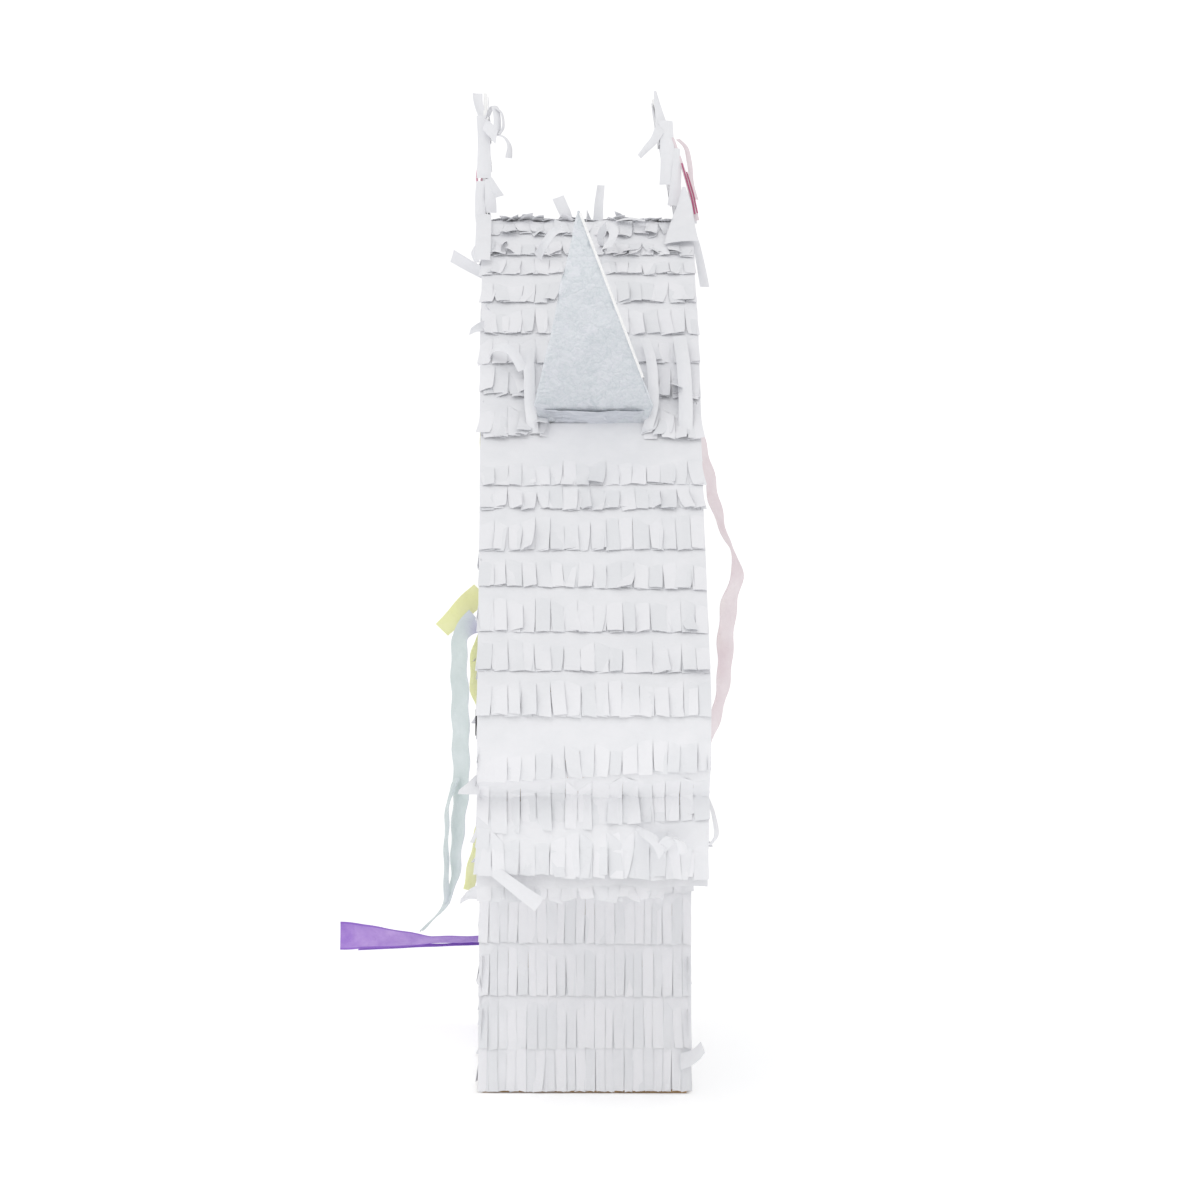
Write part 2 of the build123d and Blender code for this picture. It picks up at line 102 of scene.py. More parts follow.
def circle_through(a, b, c):
    """Centre of the circle through three points of the side view."""
    d = 2 * (a[0] * (b[1] - c[1]) + b[0] * (c[1] - a[1]) + c[0] * (a[1] - b[1]))
    aa, bb, cc = (p[0] ** 2 + p[1] ** 2 for p in (a, b, c))
    x = (aa * (b[1] - c[1]) + bb * (c[1] - a[1]) + cc * (a[1] - b[1])) / d
    y = (aa * (c[0] - b[0]) + bb * (a[0] - c[0]) + cc * (b[0] - a[0])) / d
    return x, y


def run_points(run):
    """Points about OUTLINE_STEP apart along a straight run or an arc through three points."""
    run = [(y * MM, z * MM) for y, z in run]
    if len(run) == 2:
        (y0, z0), (y1, z1) = run
        count = max(1, round(math.dist(*run) / OUTLINE_STEP))
        return [(y0 + (y1 - y0) * k / count, z0 + (z1 - z0) * k / count) for k in range(1, count + 1)]
    centre = circle_through(*run)
    radius = math.dist(centre, run[0])
    angles = [math.atan2(p[1] - centre[1], p[0] - centre[0]) for p in run]
    turn = (angles[2] - angles[0]) % (2 * math.pi)
    if (angles[1] - angles[0]) % (2 * math.pi) > turn:
        turn -= 2 * math.pi
    count = max(2, round(radius * abs(turn) / OUTLINE_STEP))
    steps = [angles[0] + turn * k / count for k in range(1, count + 1)]
    return [(centre[0] + radius * math.cos(a), centre[1] + radius * math.sin(a)) for a in steps]


outline = [(OUTLINE_RUNS[0][0][0] * MM, OUTLINE_RUNS[0][0][1] * MM)]
corner_at = {OUTLINE_RUNS[0][0]: 0.0}
for run in OUTLINE_RUNS:
    outline += run_points(run)
    corner_at[run[-1]] = len(outline) - 1
stations = [0.0]
for before, after in zip(outline, outline[1:]):
    stations.append(stations[-1] + math.dist(before, after))
print(f"outline: {len(outline)} points, {stations[-1]:.3f} m long")

# %% Reading the outline
HALF_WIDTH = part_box("side_panel_right")[1][0]
SKIN_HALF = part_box("crepe_side_right")[1][0]
CROWN_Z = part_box("side_panel_right")[1][2]
SMOOTHING = 5 * MM  # the paper bridges a corner over this length each side


def station_of(corner):
    return stations[corner_at[corner]]


def outline_point(s):
    """The (Y, Z) point at a length along the outline."""
    s = min(max(s, 0.0), stations[-1])
    k = min(max(bisect.bisect_right(stations, s) - 1, 0), len(outline) - 2)
    part = (s - stations[k]) / (stations[k + 1] - stations[k])
    (y0, z0), (y1, z1) = outline[k], outline[k + 1]
    return y0 + (y1 - y0) * part, z0 + (z1 - z0) * part


def outline_frame(s, smoothing=SMOOTHING):
    """The point, the direction of growing length and the outward direction, as vectors."""
    y, z = outline_point(s)
    y0, z0 = outline_point(s - smoothing)
    y1, z1 = outline_point(s + smoothing)
    along = Vector((0, y1 - y0, z1 - z0)).normalized()
    return Vector((0, y, z)), along, Vector((0, -along.z, along.y))


def panel_spans(y):
    """The spans of Z where a side panel has board at that Y, from the top down."""
    ring = outline + outline[:1]
    cuts = []
    for (y0, z0), (y1, z1) in zip(ring, ring[1:]):
        if (y0 <= y) != (y1 <= y):
            cuts.append(z0 + (z1 - z0) * (y - y0) / (y1 - y0))
    cuts.sort(reverse=True)
    return list(zip(cuts[::2], cuts[1::2]))


SPAN_STEP = 0.5 * MM
y_low = min(y for y, z in outline)
y_high = max(y for y, z in outline)
span_table = [panel_spans(y_low + k * SPAN_STEP) for k in range(int((y_high - y_low) / SPAN_STEP) + 1)]


def spans_at(y):
    k = round((y - y_low) / SPAN_STEP)
    return span_table[k] if 0 <= k < len(span_table) else []


print("spans through the muzzle:", [(round(a, 3), round(b, 3)) for a, b in spans_at(-0.15)])

# %% [markdown]
# ## Helpers for materials
# Colours are written as sRGB hex, as a colour picker gives them, and one function turns them to
# the linear values that Blender works in. One more adds a node with its settings and links, so
# that each material below reads as a short recipe.


# %% Material helpers
def linear(hex_colour):
    parts = [int(hex_colour[i:i + 2], 16) / 255 for i in (1, 3, 5)]
    return [p / 12.92 if p <= 0.04045 else ((p + 0.055) / 1.055) ** 2.4 for p in parts] + [1.0]


def new_material(name):
    material = bpy.data.materials.new(name)
    material.use_nodes = True
    tree = material.node_tree
    tree.nodes.clear()
    return material, tree


def add(tree, kind, links=None, values=None, **settings):
    """Add one node, set its settings and input values, and link its inputs."""
    node = tree.nodes.new(kind)
    for name, value in settings.items():
        setattr(node, name, value)
    for socket, value in (values or {}).items():
        node.inputs[socket].default_value = value
    for socket, source in (links or {}).items():
        tree.links.new(source, node.inputs[socket])
    return node


def ramp(tree, factor, stops):
    """A colour ramp from (position, linear colour) stops."""
    node = add(tree, "ShaderNodeValToRGB", links={"Fac": factor})
    while len(node.color_ramp.elements) < len(stops):
        node.color_ramp.elements.new(0.5)
    for element, (position, colour) in zip(node.color_ramp.elements, stops):
        element.position = position
        element.color = colour
    return node.outputs["Color"]


# %% [markdown]
# ## Tissue paper
# The fringe is bleached tissue paper: thin, smooth and matt. Some light passes through each sheet,
# so the shadows between the strips stay soft. Real tissue shows faint cloudy fibre and small wrinkles 2 to 4 mm apart from handling. Its fine crepe of about 0.5 mm wouldn't show at this distance, so it
# is drawn at about 1.2 mm. The pattern follows each strip's own UV map, which is in metres, and a
# "tint" attribute makes each cut strip a touch lighter or darker than its neighbours.

# %% Tissue paper recipe
TISSUE_IOR = 1.47  # cellulose
CREPE_PITCH = 1.2 * MM
WRINKLE_PITCH = 7 * MM
FIBRE_PITCH = 2.5 * MM
THROUGH = 0.06  # the share of light that passes through a sheet of white tissue


def tissue(name, light, dark, wrinkle=0.5, crepe=0.25, roughness=0.9, sheen=0.1, through=0.0):
    """Tissue paper between two near colours, with creping across the strip and soft wrinkles."""
    material, tree = new_material(name)
    place = add(tree, "ShaderNodeTexCoord").outputs["UV"]
    clouds = add(tree, "ShaderNodeTexNoise", links={"Vector": place},
                 values={"Scale": 1 / FIBRE_PITCH / 6, "Detail": 4.0, "Roughness": 0.6})
    tint = add(tree, "ShaderNodeAttribute", attribute_name="tint").outputs["Fac"]
    mixed = add(tree, "ShaderNodeMath", operation="MULTIPLY_ADD",
                links={0: tint, 2: clouds.outputs["Fac"]}, values={1: 0.35})
    colour = ramp(tree, mixed.outputs[0], [(0.25, linear(dark)), (0.7, linear(light))])
    across = add(tree, "ShaderNodeMapping", links={"Vector": place},
                 values={"Scale": (0.25 / CREPE_PITCH, 1 / CREPE_PITCH, 1.0)})
    creping = add(tree, "ShaderNodeTexNoise", links={"Vector": across.outputs[0]},
                  values={"Scale": 1.0, "Detail": 2.0})
    wrinkles = add(tree, "ShaderNodeTexNoise", links={"Vector": place},
                   values={"Scale": 1 / WRINKLE_PITCH, "Detail": 3.0, "Distortion": 0.8})
    soft = add(tree, "ShaderNodeBump", links={"Height": wrinkles.outputs["Fac"]},
               values={"Strength": wrinkle, "Distance": 1.2 * MM})
    fine = add(tree, "ShaderNodeBump", links={"Height": creping.outputs["Fac"],
                                              "Normal": soft.outputs[0]},
               values={"Strength": crepe, "Distance": 0.2 * MM})
    shader = add(tree, "ShaderNodeBsdfPrincipled",
                 links={"Base Color": colour, "Normal": fine.outputs[0]},
                 values={"Roughness": roughness, "IOR": TISSUE_IOR, "Sheen Weight": sheen,
                         "Specular IOR Level": 0.25})
    passing = add(tree, "ShaderNodeBsdfTranslucent", links={"Color": colour, "Normal": fine.outputs[0]})
    paper = add(tree, "ShaderNodeMixShader", values={0: through},
                links={1: shader.outputs[0], 2: passing.outputs[0]})
    add(tree, "ShaderNodeOutputMaterial", links={"Surface": paper.outputs[0]})
    return material


tissue_white = tissue("tissue_paper_white", "#f2f2f5", "#eaebee", wrinkle=0.15,
                      through=THROUGH)
tissue_rose = tissue("tissue_paper_rose", "#e4b8c7", "#cc8fa6", wrinkle=0.9)
# Darker crimson rose for the deep folds of the ear's rolled lining: painted shade in the folds.
rose_fold_painted_shade = tissue("tissue_paper_rose_fold_painted_shade", "#c76f90", "#a14c6f", wrinkle=0.9)
tissue_pink = tissue("tissue_paper_pink", "#ece3e6", "#e2d3d8")
tissue_yellow = tissue("tissue_paper_yellow", "#f2f4c2", "#eaedaa")
tissue_mint = tissue("tissue_paper_mint", "#dbe3e4", "#cbd6d5")
tissue_purple = tissue("tissue_paper_purple", "#c6a6e7", "#9a72ce", wrinkle=0.8, roughness=0.6)
print("tissue papers:", [m.name for m in bpy.data.materials if m.name.startswith("tissue")])

# %% [markdown]
# ## Foil paper, board, card and tape
# The horn is wrapped in foil-faced paper. Crushed by hand, it breaks into small flat facets, so its
# silver reads as pale grey with a soft glitter, not as a mirror. The greys of the facets and the
# glints are painted reflection in its colour, and its crease lines are darkened with painted shade.
# Board is brown kraft liner with faint lines 7 mm apart where its flutes press through. White card
# is smooth with a slight tooth.

# %% Foil paper
FOIL_FACET = 5.0 * MM
FOIL_GRAIN = 1.3 * MM


def foil(name, shades, stretch=(1.0, 1.0, 1.0), fold=0.45):
    """Foil-faced paper: facets and glints in three near greys as painted reflection, painted shade along the creases,
    which are drawn out along an axis if asked.
    """
    material, tree = new_material(name)
    coordinates = add(tree, "ShaderNodeTexCoord").outputs["Object"]
    place = add(tree, "ShaderNodeMapping", links={"Vector": coordinates},
                values={"Scale": stretch}).outputs[0]
    warp = add(tree, "ShaderNodeTexNoise", links={"Vector": place},
               values={"Scale": 1 / FOIL_FACET / 1.5, "Detail": 5.0})
    bent = add(tree, "ShaderNodeMix", data_type="VECTOR", links={4: place, 5: warp.outputs["Color"]},
               values={0: 0.018})
    facets = add(tree, "ShaderNodeTexVoronoi", links={"Vector": bent.outputs[1]},
                 feature="DISTANCE_TO_EDGE", values={"Scale": 1 / FOIL_FACET})
    # Each facet takes its own grey: painted reflection.
    facet_reflection = add(tree, "ShaderNodeTexVoronoi", links={"Vector": bent.outputs[1]}, feature="F1",
                values={"Scale": 1 / FOIL_FACET})
    glitter = add(tree, "ShaderNodeTexNoise", links={"Vector": place},
                  values={"Scale": 1 / FOIL_GRAIN, "Detail": 3.0, "Roughness": 0.65})
    # The facet greys and the fine glitter noise set the colour: painted reflection and painted glints.
    reflection_tones = add(tree, "ShaderNodeMath", operation="MULTIPLY_ADD",
                links={0: facet_reflection.outputs["Color"], 2: glitter.outputs["Fac"]}, values={1: 0.3})
    colour = ramp(tree, reflection_tones.outputs[0], [(0.35, linear(shades[0])), (0.65, linear(shades[1])),
                                           (0.95, linear(shades[2]))])
    # Crease lines are darkened towards a blue grey: painted shade in the creases.
    crease_shade = ramp(tree, facets.outputs["Distance"],
                       [(0.0, linear("#b9bdc9")), (0.09, linear("#ffffff"))])
    colour_with_crease_shade = add(tree, "ShaderNodeMix", data_type="RGBA", blend_type="MULTIPLY",
                 links={6: colour, 7: crease_shade}, values={0: 0.13})
    creases = add(tree, "ShaderNodeBump", links={"Height": facets.outputs["Distance"]},
                  values={"Strength": fold, "Distance": 1.0 * MM})
    grain = add(tree, "ShaderNodeBump", links={"Height": glitter.outputs["Fac"],
                                               "Normal": creases.outputs[0]},
                values={"Strength": 0.35, "Distance": 0.3 * MM})
    shader = add(tree, "ShaderNodeBsdfPrincipled",
                 links={"Base Color": colour_with_crease_shade.outputs[2], "Normal": grain.outputs[0]},
                 values={"Metallic": 0.4, "Roughness": 0.45})
    add(tree, "ShaderNodeOutputMaterial", links={"Surface": shader.outputs[0]})
    return material


foil_paper = foil("foil_paper_silver", ("#ced5d9", "#dbdfe3", "#e2e3e9"))
foil_fold = foil("foil_paper_folded", ("#d0d3da", "#dadde3", "#e2e4ea"), stretch=(0.3, 1.0, 1.0),
                 fold=0.7)

# %% Board, card and tape
FLUTE_PITCH = 7 * MM


def card(name, light, dark, roughness=0.85, lines=0.0, tooth=0.9 * MM):
    """Paper board in Object coordinates, with flute lines level across it if asked."""
    material, tree = new_material(name)
    place = add(tree, "ShaderNodeTexCoord").outputs["Object"]
    fibre = add(tree, "ShaderNodeTexNoise", links={"Vector": place},
                values={"Scale": 1 / tooth, "Detail": 5.0, "Roughness": 0.7})
    colour = ramp(tree, fibre.outputs["Fac"], [(0.3, linear(dark)), (0.7, linear(light))])
    flutes = add(tree, "ShaderNodeTexWave", links={"Vector": place}, bands_direction="Z",
                 values={"Scale": 2 * math.pi / FLUTE_PITCH / 20, "Distortion": 0.4})
    ridges = add(tree, "ShaderNodeBump", links={"Height": flutes.outputs["Fac"]},
                 values={"Strength": lines, "Distance": 0.3 * MM})
    rough = add(tree, "ShaderNodeBump", links={"Height": fibre.outputs["Fac"],
                                               "Normal": ridges.outputs[0]},
                values={"Strength": 0.3, "Distance": 0.15 * MM})
    shader = add(tree, "ShaderNodeBsdfPrincipled",
                 links={"Base Color": colour, "Normal": rough.outputs[0]},
                 values={"Roughness": roughness, "IOR": TISSUE_IOR})
    add(tree, "ShaderNodeOutputMaterial", links={"Surface": shader.outputs[0]})
    return material


corrugated_board = card("corrugated_board_kraft", "#c3a27a", "#a98861", lines=0.4)
card_white = card("card_white", "#fbfbfa", "#f0f0f0", roughness=0.7)
card_black = card("card_black", "#1d1c20", "#121114", roughness=0.6)
gummed_tape = card("gummed_tape", "#b08c5f", "#9c7a50", roughness=0.55)

NODE_FINISH = {
    "board": corrugated_board, "card_white": card_white, "card_black": card_black,
    "gummed_tape": gummed_tape, "foil_paper": foil_paper, "crepe_white": tissue_white,
    "tissue_rose": tissue_rose, "paper_pink": tissue_pink, "paper_yellow": tissue_yellow,
    "paper_mint": tissue_mint, "paper_purple": tissue_purple,
}
for part in frame["record"]["subparts"]:
    node_object = bpy.data.objects[part["node"]]
    for slot in node_object.material_slots:
        slot.material = NODE_FINISH[part["material_slot"]]

# %% [markdown]
# ## How a fringed row is made
# On the real one, a strip of doubled tissue is cut into a fringe 4 to 6 mm wide up to a glued
# margin, and laid row over row from the bottom up. Each row hides most of the margin of the one
# below. The cuts stay close together, but every strip goes a little its own way: it lifts at its
# tip, bows across its width, leans over its neighbour, and now and then one sticks right out.
# About three thousand such cuts can't be shaped one at a time with the editing tools, so this one
# thing is written out as vertices: a continuous margin, and strips that share its last line.
# Solidify then gives the paper its thickness.

# %% Paper sheets
PAPER = 0.16 * MM


def finish_paper(name, points, faces, uvs, tints, material, smooth_angle=50):
    """Make the mesh object, give the paper its thickness and shade it."""
    used = sorted({corner for face in faces for corner in face})
    place_of = {old: new for new, old in enumerate(used)}
    mesh = bpy.data.meshes.new(name)
    mesh.from_pydata([points[k] for k in used], [], [[place_of[c] for c in f] for f in faces])
    layer = mesh.uv_layers.new(name="UVMap")
    for loop in mesh.loops:
        layer.data[loop.index].uv = uvs[used[loop.vertex_index]]
    tint = mesh.attributes.new("tint", "FLOAT", "POINT")
    tint.data.foreach_set("value", [tints[k] for k in used])
    mesh.materials.append(material)
    piece = bpy.data.objects.new(name, mesh)
    bpy.context.collection.objects.link(piece)
    bpy.ops.object.select_all(action="DESELECT")
    piece.select_set(True)
    bpy.context.view_layer.objects.active = piece
    thick = piece.modifiers.new("paper", "SOLIDIFY")
    thick.thickness = PAPER
    thick.offset = 0.0
    bpy.ops.object.modifier_apply(modifier=thick.name)
    bpy.ops.object.shade_smooth_by_angle(angle=math.radians(smooth_angle))
    return piece


class Curl:
    """How the strips of a row behave, as the usual size of each random change."""

    def __init__(self, flare, flick, bend, lean, twist, cup, ragged, wild):
        self.flare = flare * MM  # even lift from the cut to the tip
        self.flick = flick * MM  # extra lift of the tip
        self.bend = bend * MM  # sideways drift of the tip
        self.lean = math.radians(lean)  # turn about the strip's length, like a shingle
        self.twist = math.radians(twist)
        self.cup = cup * MM  # bow across the width
        self.ragged = ragged * MM  # spread of the lengths
        self.wild = wild  # share of strips that stick out


CURLS = {
    "flat": Curl(flare=0.2, flick=0.25, bend=0.35, lean=4, twist=4, cup=0.3, ragged=0.25, wild=0.01),
    "even": Curl(flare=0.3, flick=0.35, bend=0.6, lean=5, twist=6, cup=0.35, ragged=0.5, wild=0.03),
    "fluffed": Curl(flare=0.45, flick=0.5, bend=0.9, lean=6, twist=8, cup=0.4, ragged=0.9, wild=0.05),
    "loose": Curl(flare=0.6, flick=0.8, bend=1.5, lean=5, twist=13, cup=0.5, ragged=1.8, wild=0.08),
    "crown": Curl(flare=0.7, flick=1.1, bend=1.8, lean=4, twist=16, cup=0.5, ragged=2.2, wild=0.1),
}

# %% One row of fringe
ROW_RISE = 1.0 * MM  # how much farther out a row's lower edge is than its glued edge
LAYER_RISE = 0.28 * MM
FIRST_RISE = 0.12 * MM
FRINGE_STEPS = 6
MARGIN_STEPS = 3
SHORTEST = 3.5 * MM


def fringed_row(name, place, u_range, length, cut, width, seed, curl, trim=None, calm=None, layers=2,
                material=None):
    """A row of fringe. place(u, v) gives the surface point, the way out and the way along the row,
    trim(u) the first and last v that are wanted, and calm(u, v) the highest lift."""
    rng = random.Random(seed)
    points, faces, uvs, tints = [], [], [], []

    def vertex(u, v, lift, tint, aside=0.0, tilt=0.0, bow=0.0):
        base, out, along = place(u, v)
        across = along * math.cos(tilt) + out * math.sin(tilt)
        high = lift + bow
        if calm:
            high = min(high, calm(u, v))
        points.append(base + across * aside + out * high)
        uvs.append((u + aside, v))
        tints.append(tint)
        return len(points) - 1

    middle_u = sum(u_range) / 2
    start_spot, start_out, start_along = place(middle_u, 0.0)
    down = place(middle_u, MM)[0] - start_spot
    flip = down.cross(start_along).dot(start_out) < 0

    def quad(a, b, c, d):
        faces.append((a, b, c, d) if not flip else (d, c, b, a))

    for layer in range(layers):
        count = max(1, round((u_range[1] - u_range[0]) / width))
        pitch = (u_range[1] - u_range[0]) / count
        edges = [u_range[0] + pitch * (k + (rng.uniform(-0.13, 0.13) if 0 < k < count else 0))
                 for k in range(count + 1)]

        def rise(v):
            return FIRST_RISE + LAYER_RISE * layer + ROW_RISE * v / length

        columns = []
        for u in edges:
            start, end = trim(u) if trim else (0.0, length)
            low = start + 0.5 * MM
            turn_at = min(max(length - cut * rng.uniform(0.75, 1.12), low), max(end, low))
            column = []
            for k in range(MARGIN_STEPS + 1):
                v = start + (turn_at - start) * k / MARGIN_STEPS
                column.append(vertex(u, v, rise(v) + rng.uniform(0, 0.06) * MM, 0.0))
            columns.append((column, turn_at))
        for k in range(count):
            middle, half = (edges[k] + edges[k + 1]) / 2, (edges[k + 1] - edges[k]) / 2
            start, end = trim(middle) if trim else (0.0, length)
            turn_at = (columns[k][1] + columns[k + 1][1]) / 2
            whole = end >= length - 0.01 * MM
            end += min(rng.gauss(-0.4, 0.6), 0.6) * curl.ragged if whole else 0.0
            run = end - turn_at
            left, right = columns[k][0], columns[k + 1][0]
            if end - start < SHORTEST:
                continue
            for j in range(MARGIN_STEPS):
                quad(left[j], left[j + 1], right[j + 1], right[j])
            if run < SHORTEST:
                continue
            gain = rng.uniform(2.0, 4.0) if rng.random() < curl.wild else 1.0
            flare = abs(rng.gauss(0.5, 0.5)) * curl.flare * gain
            flick = max(rng.gauss(0.4, 0.8), -0.2) * curl.flick * gain
            bend = rng.gauss(0.0, 1.0) * curl.bend * gain
            lean = curl.lean * rng.gauss(1.0, 0.8)
            twist = rng.gauss(0.0, 1.0) * curl.twist * gain
            cup = rng.uniform(0.0, 1.0) * curl.cup
            narrow = rng.uniform(0.02, 0.07)
            corner = rng.uniform(-0.5, 0.5) * MM
            tint = rng.uniform(-1.0, 1.0)
            first = vertex(middle, turn_at, rise(turn_at), tint)
            previous = (left[-1], first, right[-1])
            for step in range(1, FRINGE_STEPS + 1):
                t = step / FRINGE_STEPS
                last = step == FRINGE_STEPS
                v = turn_at + run * t
                lift = rise(v) + flare * t + flick * t ** 3
                shift = bend * t * t
                tilt = lean * min(1.0, 2 * t) + twist * t
                side = half * (1 - narrow * (0.5 + 0.5 * t) - (0.04 if last else 0.0))
                row = (
                    vertex(middle, v - (corner if last else 0), lift, tint, shift - side, tilt),
                    vertex(middle, v, lift, tint, shift, tilt, cup * min(1.0, 3 * t)),
                    vertex(middle, v + (corner if last else 0), lift, tint, shift + side, tilt),
                )
                for a in (0, 1):
                    quad(previous[a], row[a], row[a + 1], previous[a + 1])
                previous = row
    return finish_paper(name, points, faces, uvs, tints, material or tissue_white)


# %% [markdown]
# A strip's first line has a middle point of its own, while its two ends are the margin's points,
# so strips stay separate just below the margin and still join it without a gap.
#
# ## Rows down the face, throat and neck
# The front rows are as wide as the head. Their lower edges are set one by one, because on a
# hand-made one the spacing wanders between 17 and 25 mm and some rows slant a little. The last
# row of the chin leaves the board and hangs free in front of the neck.

# %% Places on the narrow faces
EDGE = SKIN_HALF - 0.1 * MM  # the narrow rows run out over the side panels' edges
HORN_X = 1 * MM
HORN_FOOT_LOW = station_of((-86, 321)) - 52.5 * MM
HORN_FOOT_HALF = 20.6 * MM
HORN_FOOT_DEPTH = 36.1 * MM
TAB_REACH = 9 * MM
CROWN_FRONT = station_of((-30, 374))
TAB_RISE = 0.95 * MM


def horn_swell(u, s):
    """How far the tissue is raised by the horn's glue tabs under it."""
    slope = math.hypot(HORN_FOOT_DEPTH, HORN_FOOT_HALF)
    aside = (abs(u - HORN_X) - HORN_FOOT_HALF) * HORN_FOOT_DEPTH / slope
    past = max(HORN_FOOT_LOW - s, aside + (s - HORN_FOOT_LOW) * HORN_FOOT_HALF / slope)
    return TAB_RISE * max(0.0, min(1.0, 1 - (past - TAB_REACH) / (3 * MM)))


def on_face(bottom, length, skew=0.0, free_from=None):
    """Rows that hang towards the front of the base, with their lower edge at a station.
    Below the free_from station they leave the board and hang straight down."""
    glue = bottom + length

    def place(u, v):
        s = glue - v + skew * u / EDGE
        if free_from and s < free_from:
            spot, along, out = outline_frame(free_from)
            fall = Vector((0, 0.06, -1)).normalized()
            return (spot + Vector((u, 0, 0)) + fall * (free_from - s),
                    Vector((0, -1, -0.06)).normalized(), Vector((1, 0, 0)))
        spot, along, out = outline_frame(s)
        corner_lift = 1.3 * MM * max(0.0, 1 - abs(s - CROWN_FRONT) / (9 * MM))
        return (spot + Vector((u, 0, 0)) + out * (horn_swell(u, s) + corner_lift), out,
                Vector((1, 0, 0)))

    return place


def on_crest(top):
    """Rows that hang down the back, glued at a station."""

    def place(u, v):
        spot, along, out = outline_frame(top + v)
        return spot + Vector((-u, 0, 0)), out, Vector((-1, 0, 0))

    return place


# The face's rows from the brow down, in millimetres: the station of the lower edge, the length of
# the cuts, how far the row spreads past the head's edge, and how wild it is
FACE_ROWS = [
    (561, 12, -1.7, "crown"), (546.2, 11, 1.5, "loose"), (533.2, 11, 1.5, "fluffed"),
    (514.6, 14, 1.2, "fluffed"), (495.5, 15, 1.2, "fluffed"), (478.0, 15, 1.4, "fluffed"),
    (458.4, 17, 1.2, "loose"), (435.9, 17, 1.0, "loose"), (410.3, 13, 0.6, "even"),
    (397.3, 12, 0.5, "fluffed"), (375.7, 17, 0.3, "even"), (356.2, 15, 0.3, "even"),
    (334.1, 16, 0.2, "even"), (314.1, 15, 0.2, "even"), (295.2, 15, 0.1, "even"),
]
ROW_LENGTH = 34 * MM
FACE_WIDTH = 5.7 * MM
NECK_WIDTH = 4.1 * MM

# %% [markdown]
# The horn stands on the forehead. Its foot is a triangle, so a strip that reaches it stops there,
# and one that starts under it begins at its lower edge.

# %% Room for the horn
def horn_trim(bottom, length):
    """Stop the strips at the foot of the horn."""
    top = bottom + length

    def trim(u):
        off = abs(u - HORN_X)
        high = HORN_FOOT_LOW + HORN_FOOT_DEPTH * (1 - off / HORN_FOOT_HALF)
        if off > HORN_FOOT_HALF or bottom > high or top < HORN_FOOT_LOW:
            return 0.0, length
        if top > high:
            return 0.0, top - high
        if bottom < HORN_FOOT_LOW - 12 * MM:
            return top - HORN_FOOT_LOW, length
        return 0.0, 0.0

    return trim


# %% Front rows
front_rows = []
rng = random.Random(5)


def add_row(piece, body, node):
    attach(piece, body)
    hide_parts(node)
    return piece


for number, (bottom, cut, spread, kind) in enumerate(FACE_ROWS):
    half = EDGE + spread * MM
    bottom = bottom * MM
    piece = fringed_row(f"face_row_{number:02d}", on_face(bottom, ROW_LENGTH, rng.uniform(-0.9, 0.9) * MM),
                        (-half, half), ROW_LENGTH, cut * MM, FACE_WIDTH, 100 + number, CURLS[kind],
                        trim=horn_trim(bottom, ROW_LENGTH), layers=3 if kind == "loose" else 2)
    front_rows.append(add_row(piece, "shell", "crepe_face"))

lip, chin = station_of((-208, 140)), station_of((-203, 120))
# Name, lower edge, row length, cut, slant and where it hangs free
MUZZLE_ROWS = [
    ("lip_row", lip + 0.5 * MM, 34, 12.5, 2.6, lip + 4 * MM),
    ("chin_row_upper", chin + 0.8 * MM, 31, 22, 3.2, chin + 5 * MM),
    ("chin_row_middle", chin - 20 * MM, 30, 18, -0.8, chin - 9 * MM),
    ("chin_row_lower", chin - 30 * MM, 34, 6, 0.5, chin - 15 * MM),
]
FREE_SIDE = 26 * MM  # on this side of the chin the hanging ends are torn off
for number, (name, bottom, length, cut, skew, free_from) in enumerate(reversed(MUZZLE_ROWS)):
    place = on_face(bottom, length * MM, skew * MM, free_from)
    trim = None
    if name == "chin_row_lower":
        def trim(u, whole=length * MM):
            return 0.0, whole - (3.5 * MM if u > FREE_SIDE else 0.0)
    piece = fringed_row(name, place, (-EDGE, EDGE), length * MM, cut * MM, FACE_WIDTH, 140 + number,
                        CURLS["even" if name == "lip_row" else "fluffed"], trim=trim)
    front_rows.append(add_row(piece, "shell", "crepe_face"))

JAW_PITCH = 20 * MM
jaw_start, jaw_end = station_of((-84, 112)), station_of((-170, 98))
for number in range(4):
    bottom = max(jaw_end - (number + 1) * JAW_PITCH, jaw_start + 3 * MM)
    length = min(ROW_LENGTH, chin - 18 * MM - bottom)
    piece = fringed_row(f"jaw_row_{number}", on_face(bottom, length), (-EDGE, EDGE), length, 14 * MM,
                        FACE_WIDTH, 150 + number, CURLS["flat"])
    front_rows.append(add_row(piece, "shell", "crepe_jaw"))

NECK_ROWS = [(93, "fluffed"), (84.5, "even"), (62.5, "flat"), (40.5, "flat"), (18.5, "flat"), (0.8, "flat")]
for number, (bottom, kind) in enumerate(NECK_ROWS):
    length = min(ROW_LENGTH, jaw_start + 3 * MM - bottom * MM)
    piece = fringed_row(f"neck_row_{number}", on_face(bottom * MM, length, rng.uniform(-0.5, 0.5) * MM),
                        (-EDGE, EDGE), length, min(20.5 * MM, length - 4 * MM), NECK_WIDTH,
                        160 + number, CURLS[kind], layers=3 if bottom < 1 else 2)
    front_rows.append(add_row(piece, "shell", "crepe_neck_front"))
print("front rows:", len(front_rows))

# %% [markdown]
# ## Rows down the crest, over the crown and on the flap
# Behind, the rows run down to the base in the same way. On the crown they lie forwards over the
# brow, and some of their tips stand up. Two short rows on the flap open with it.

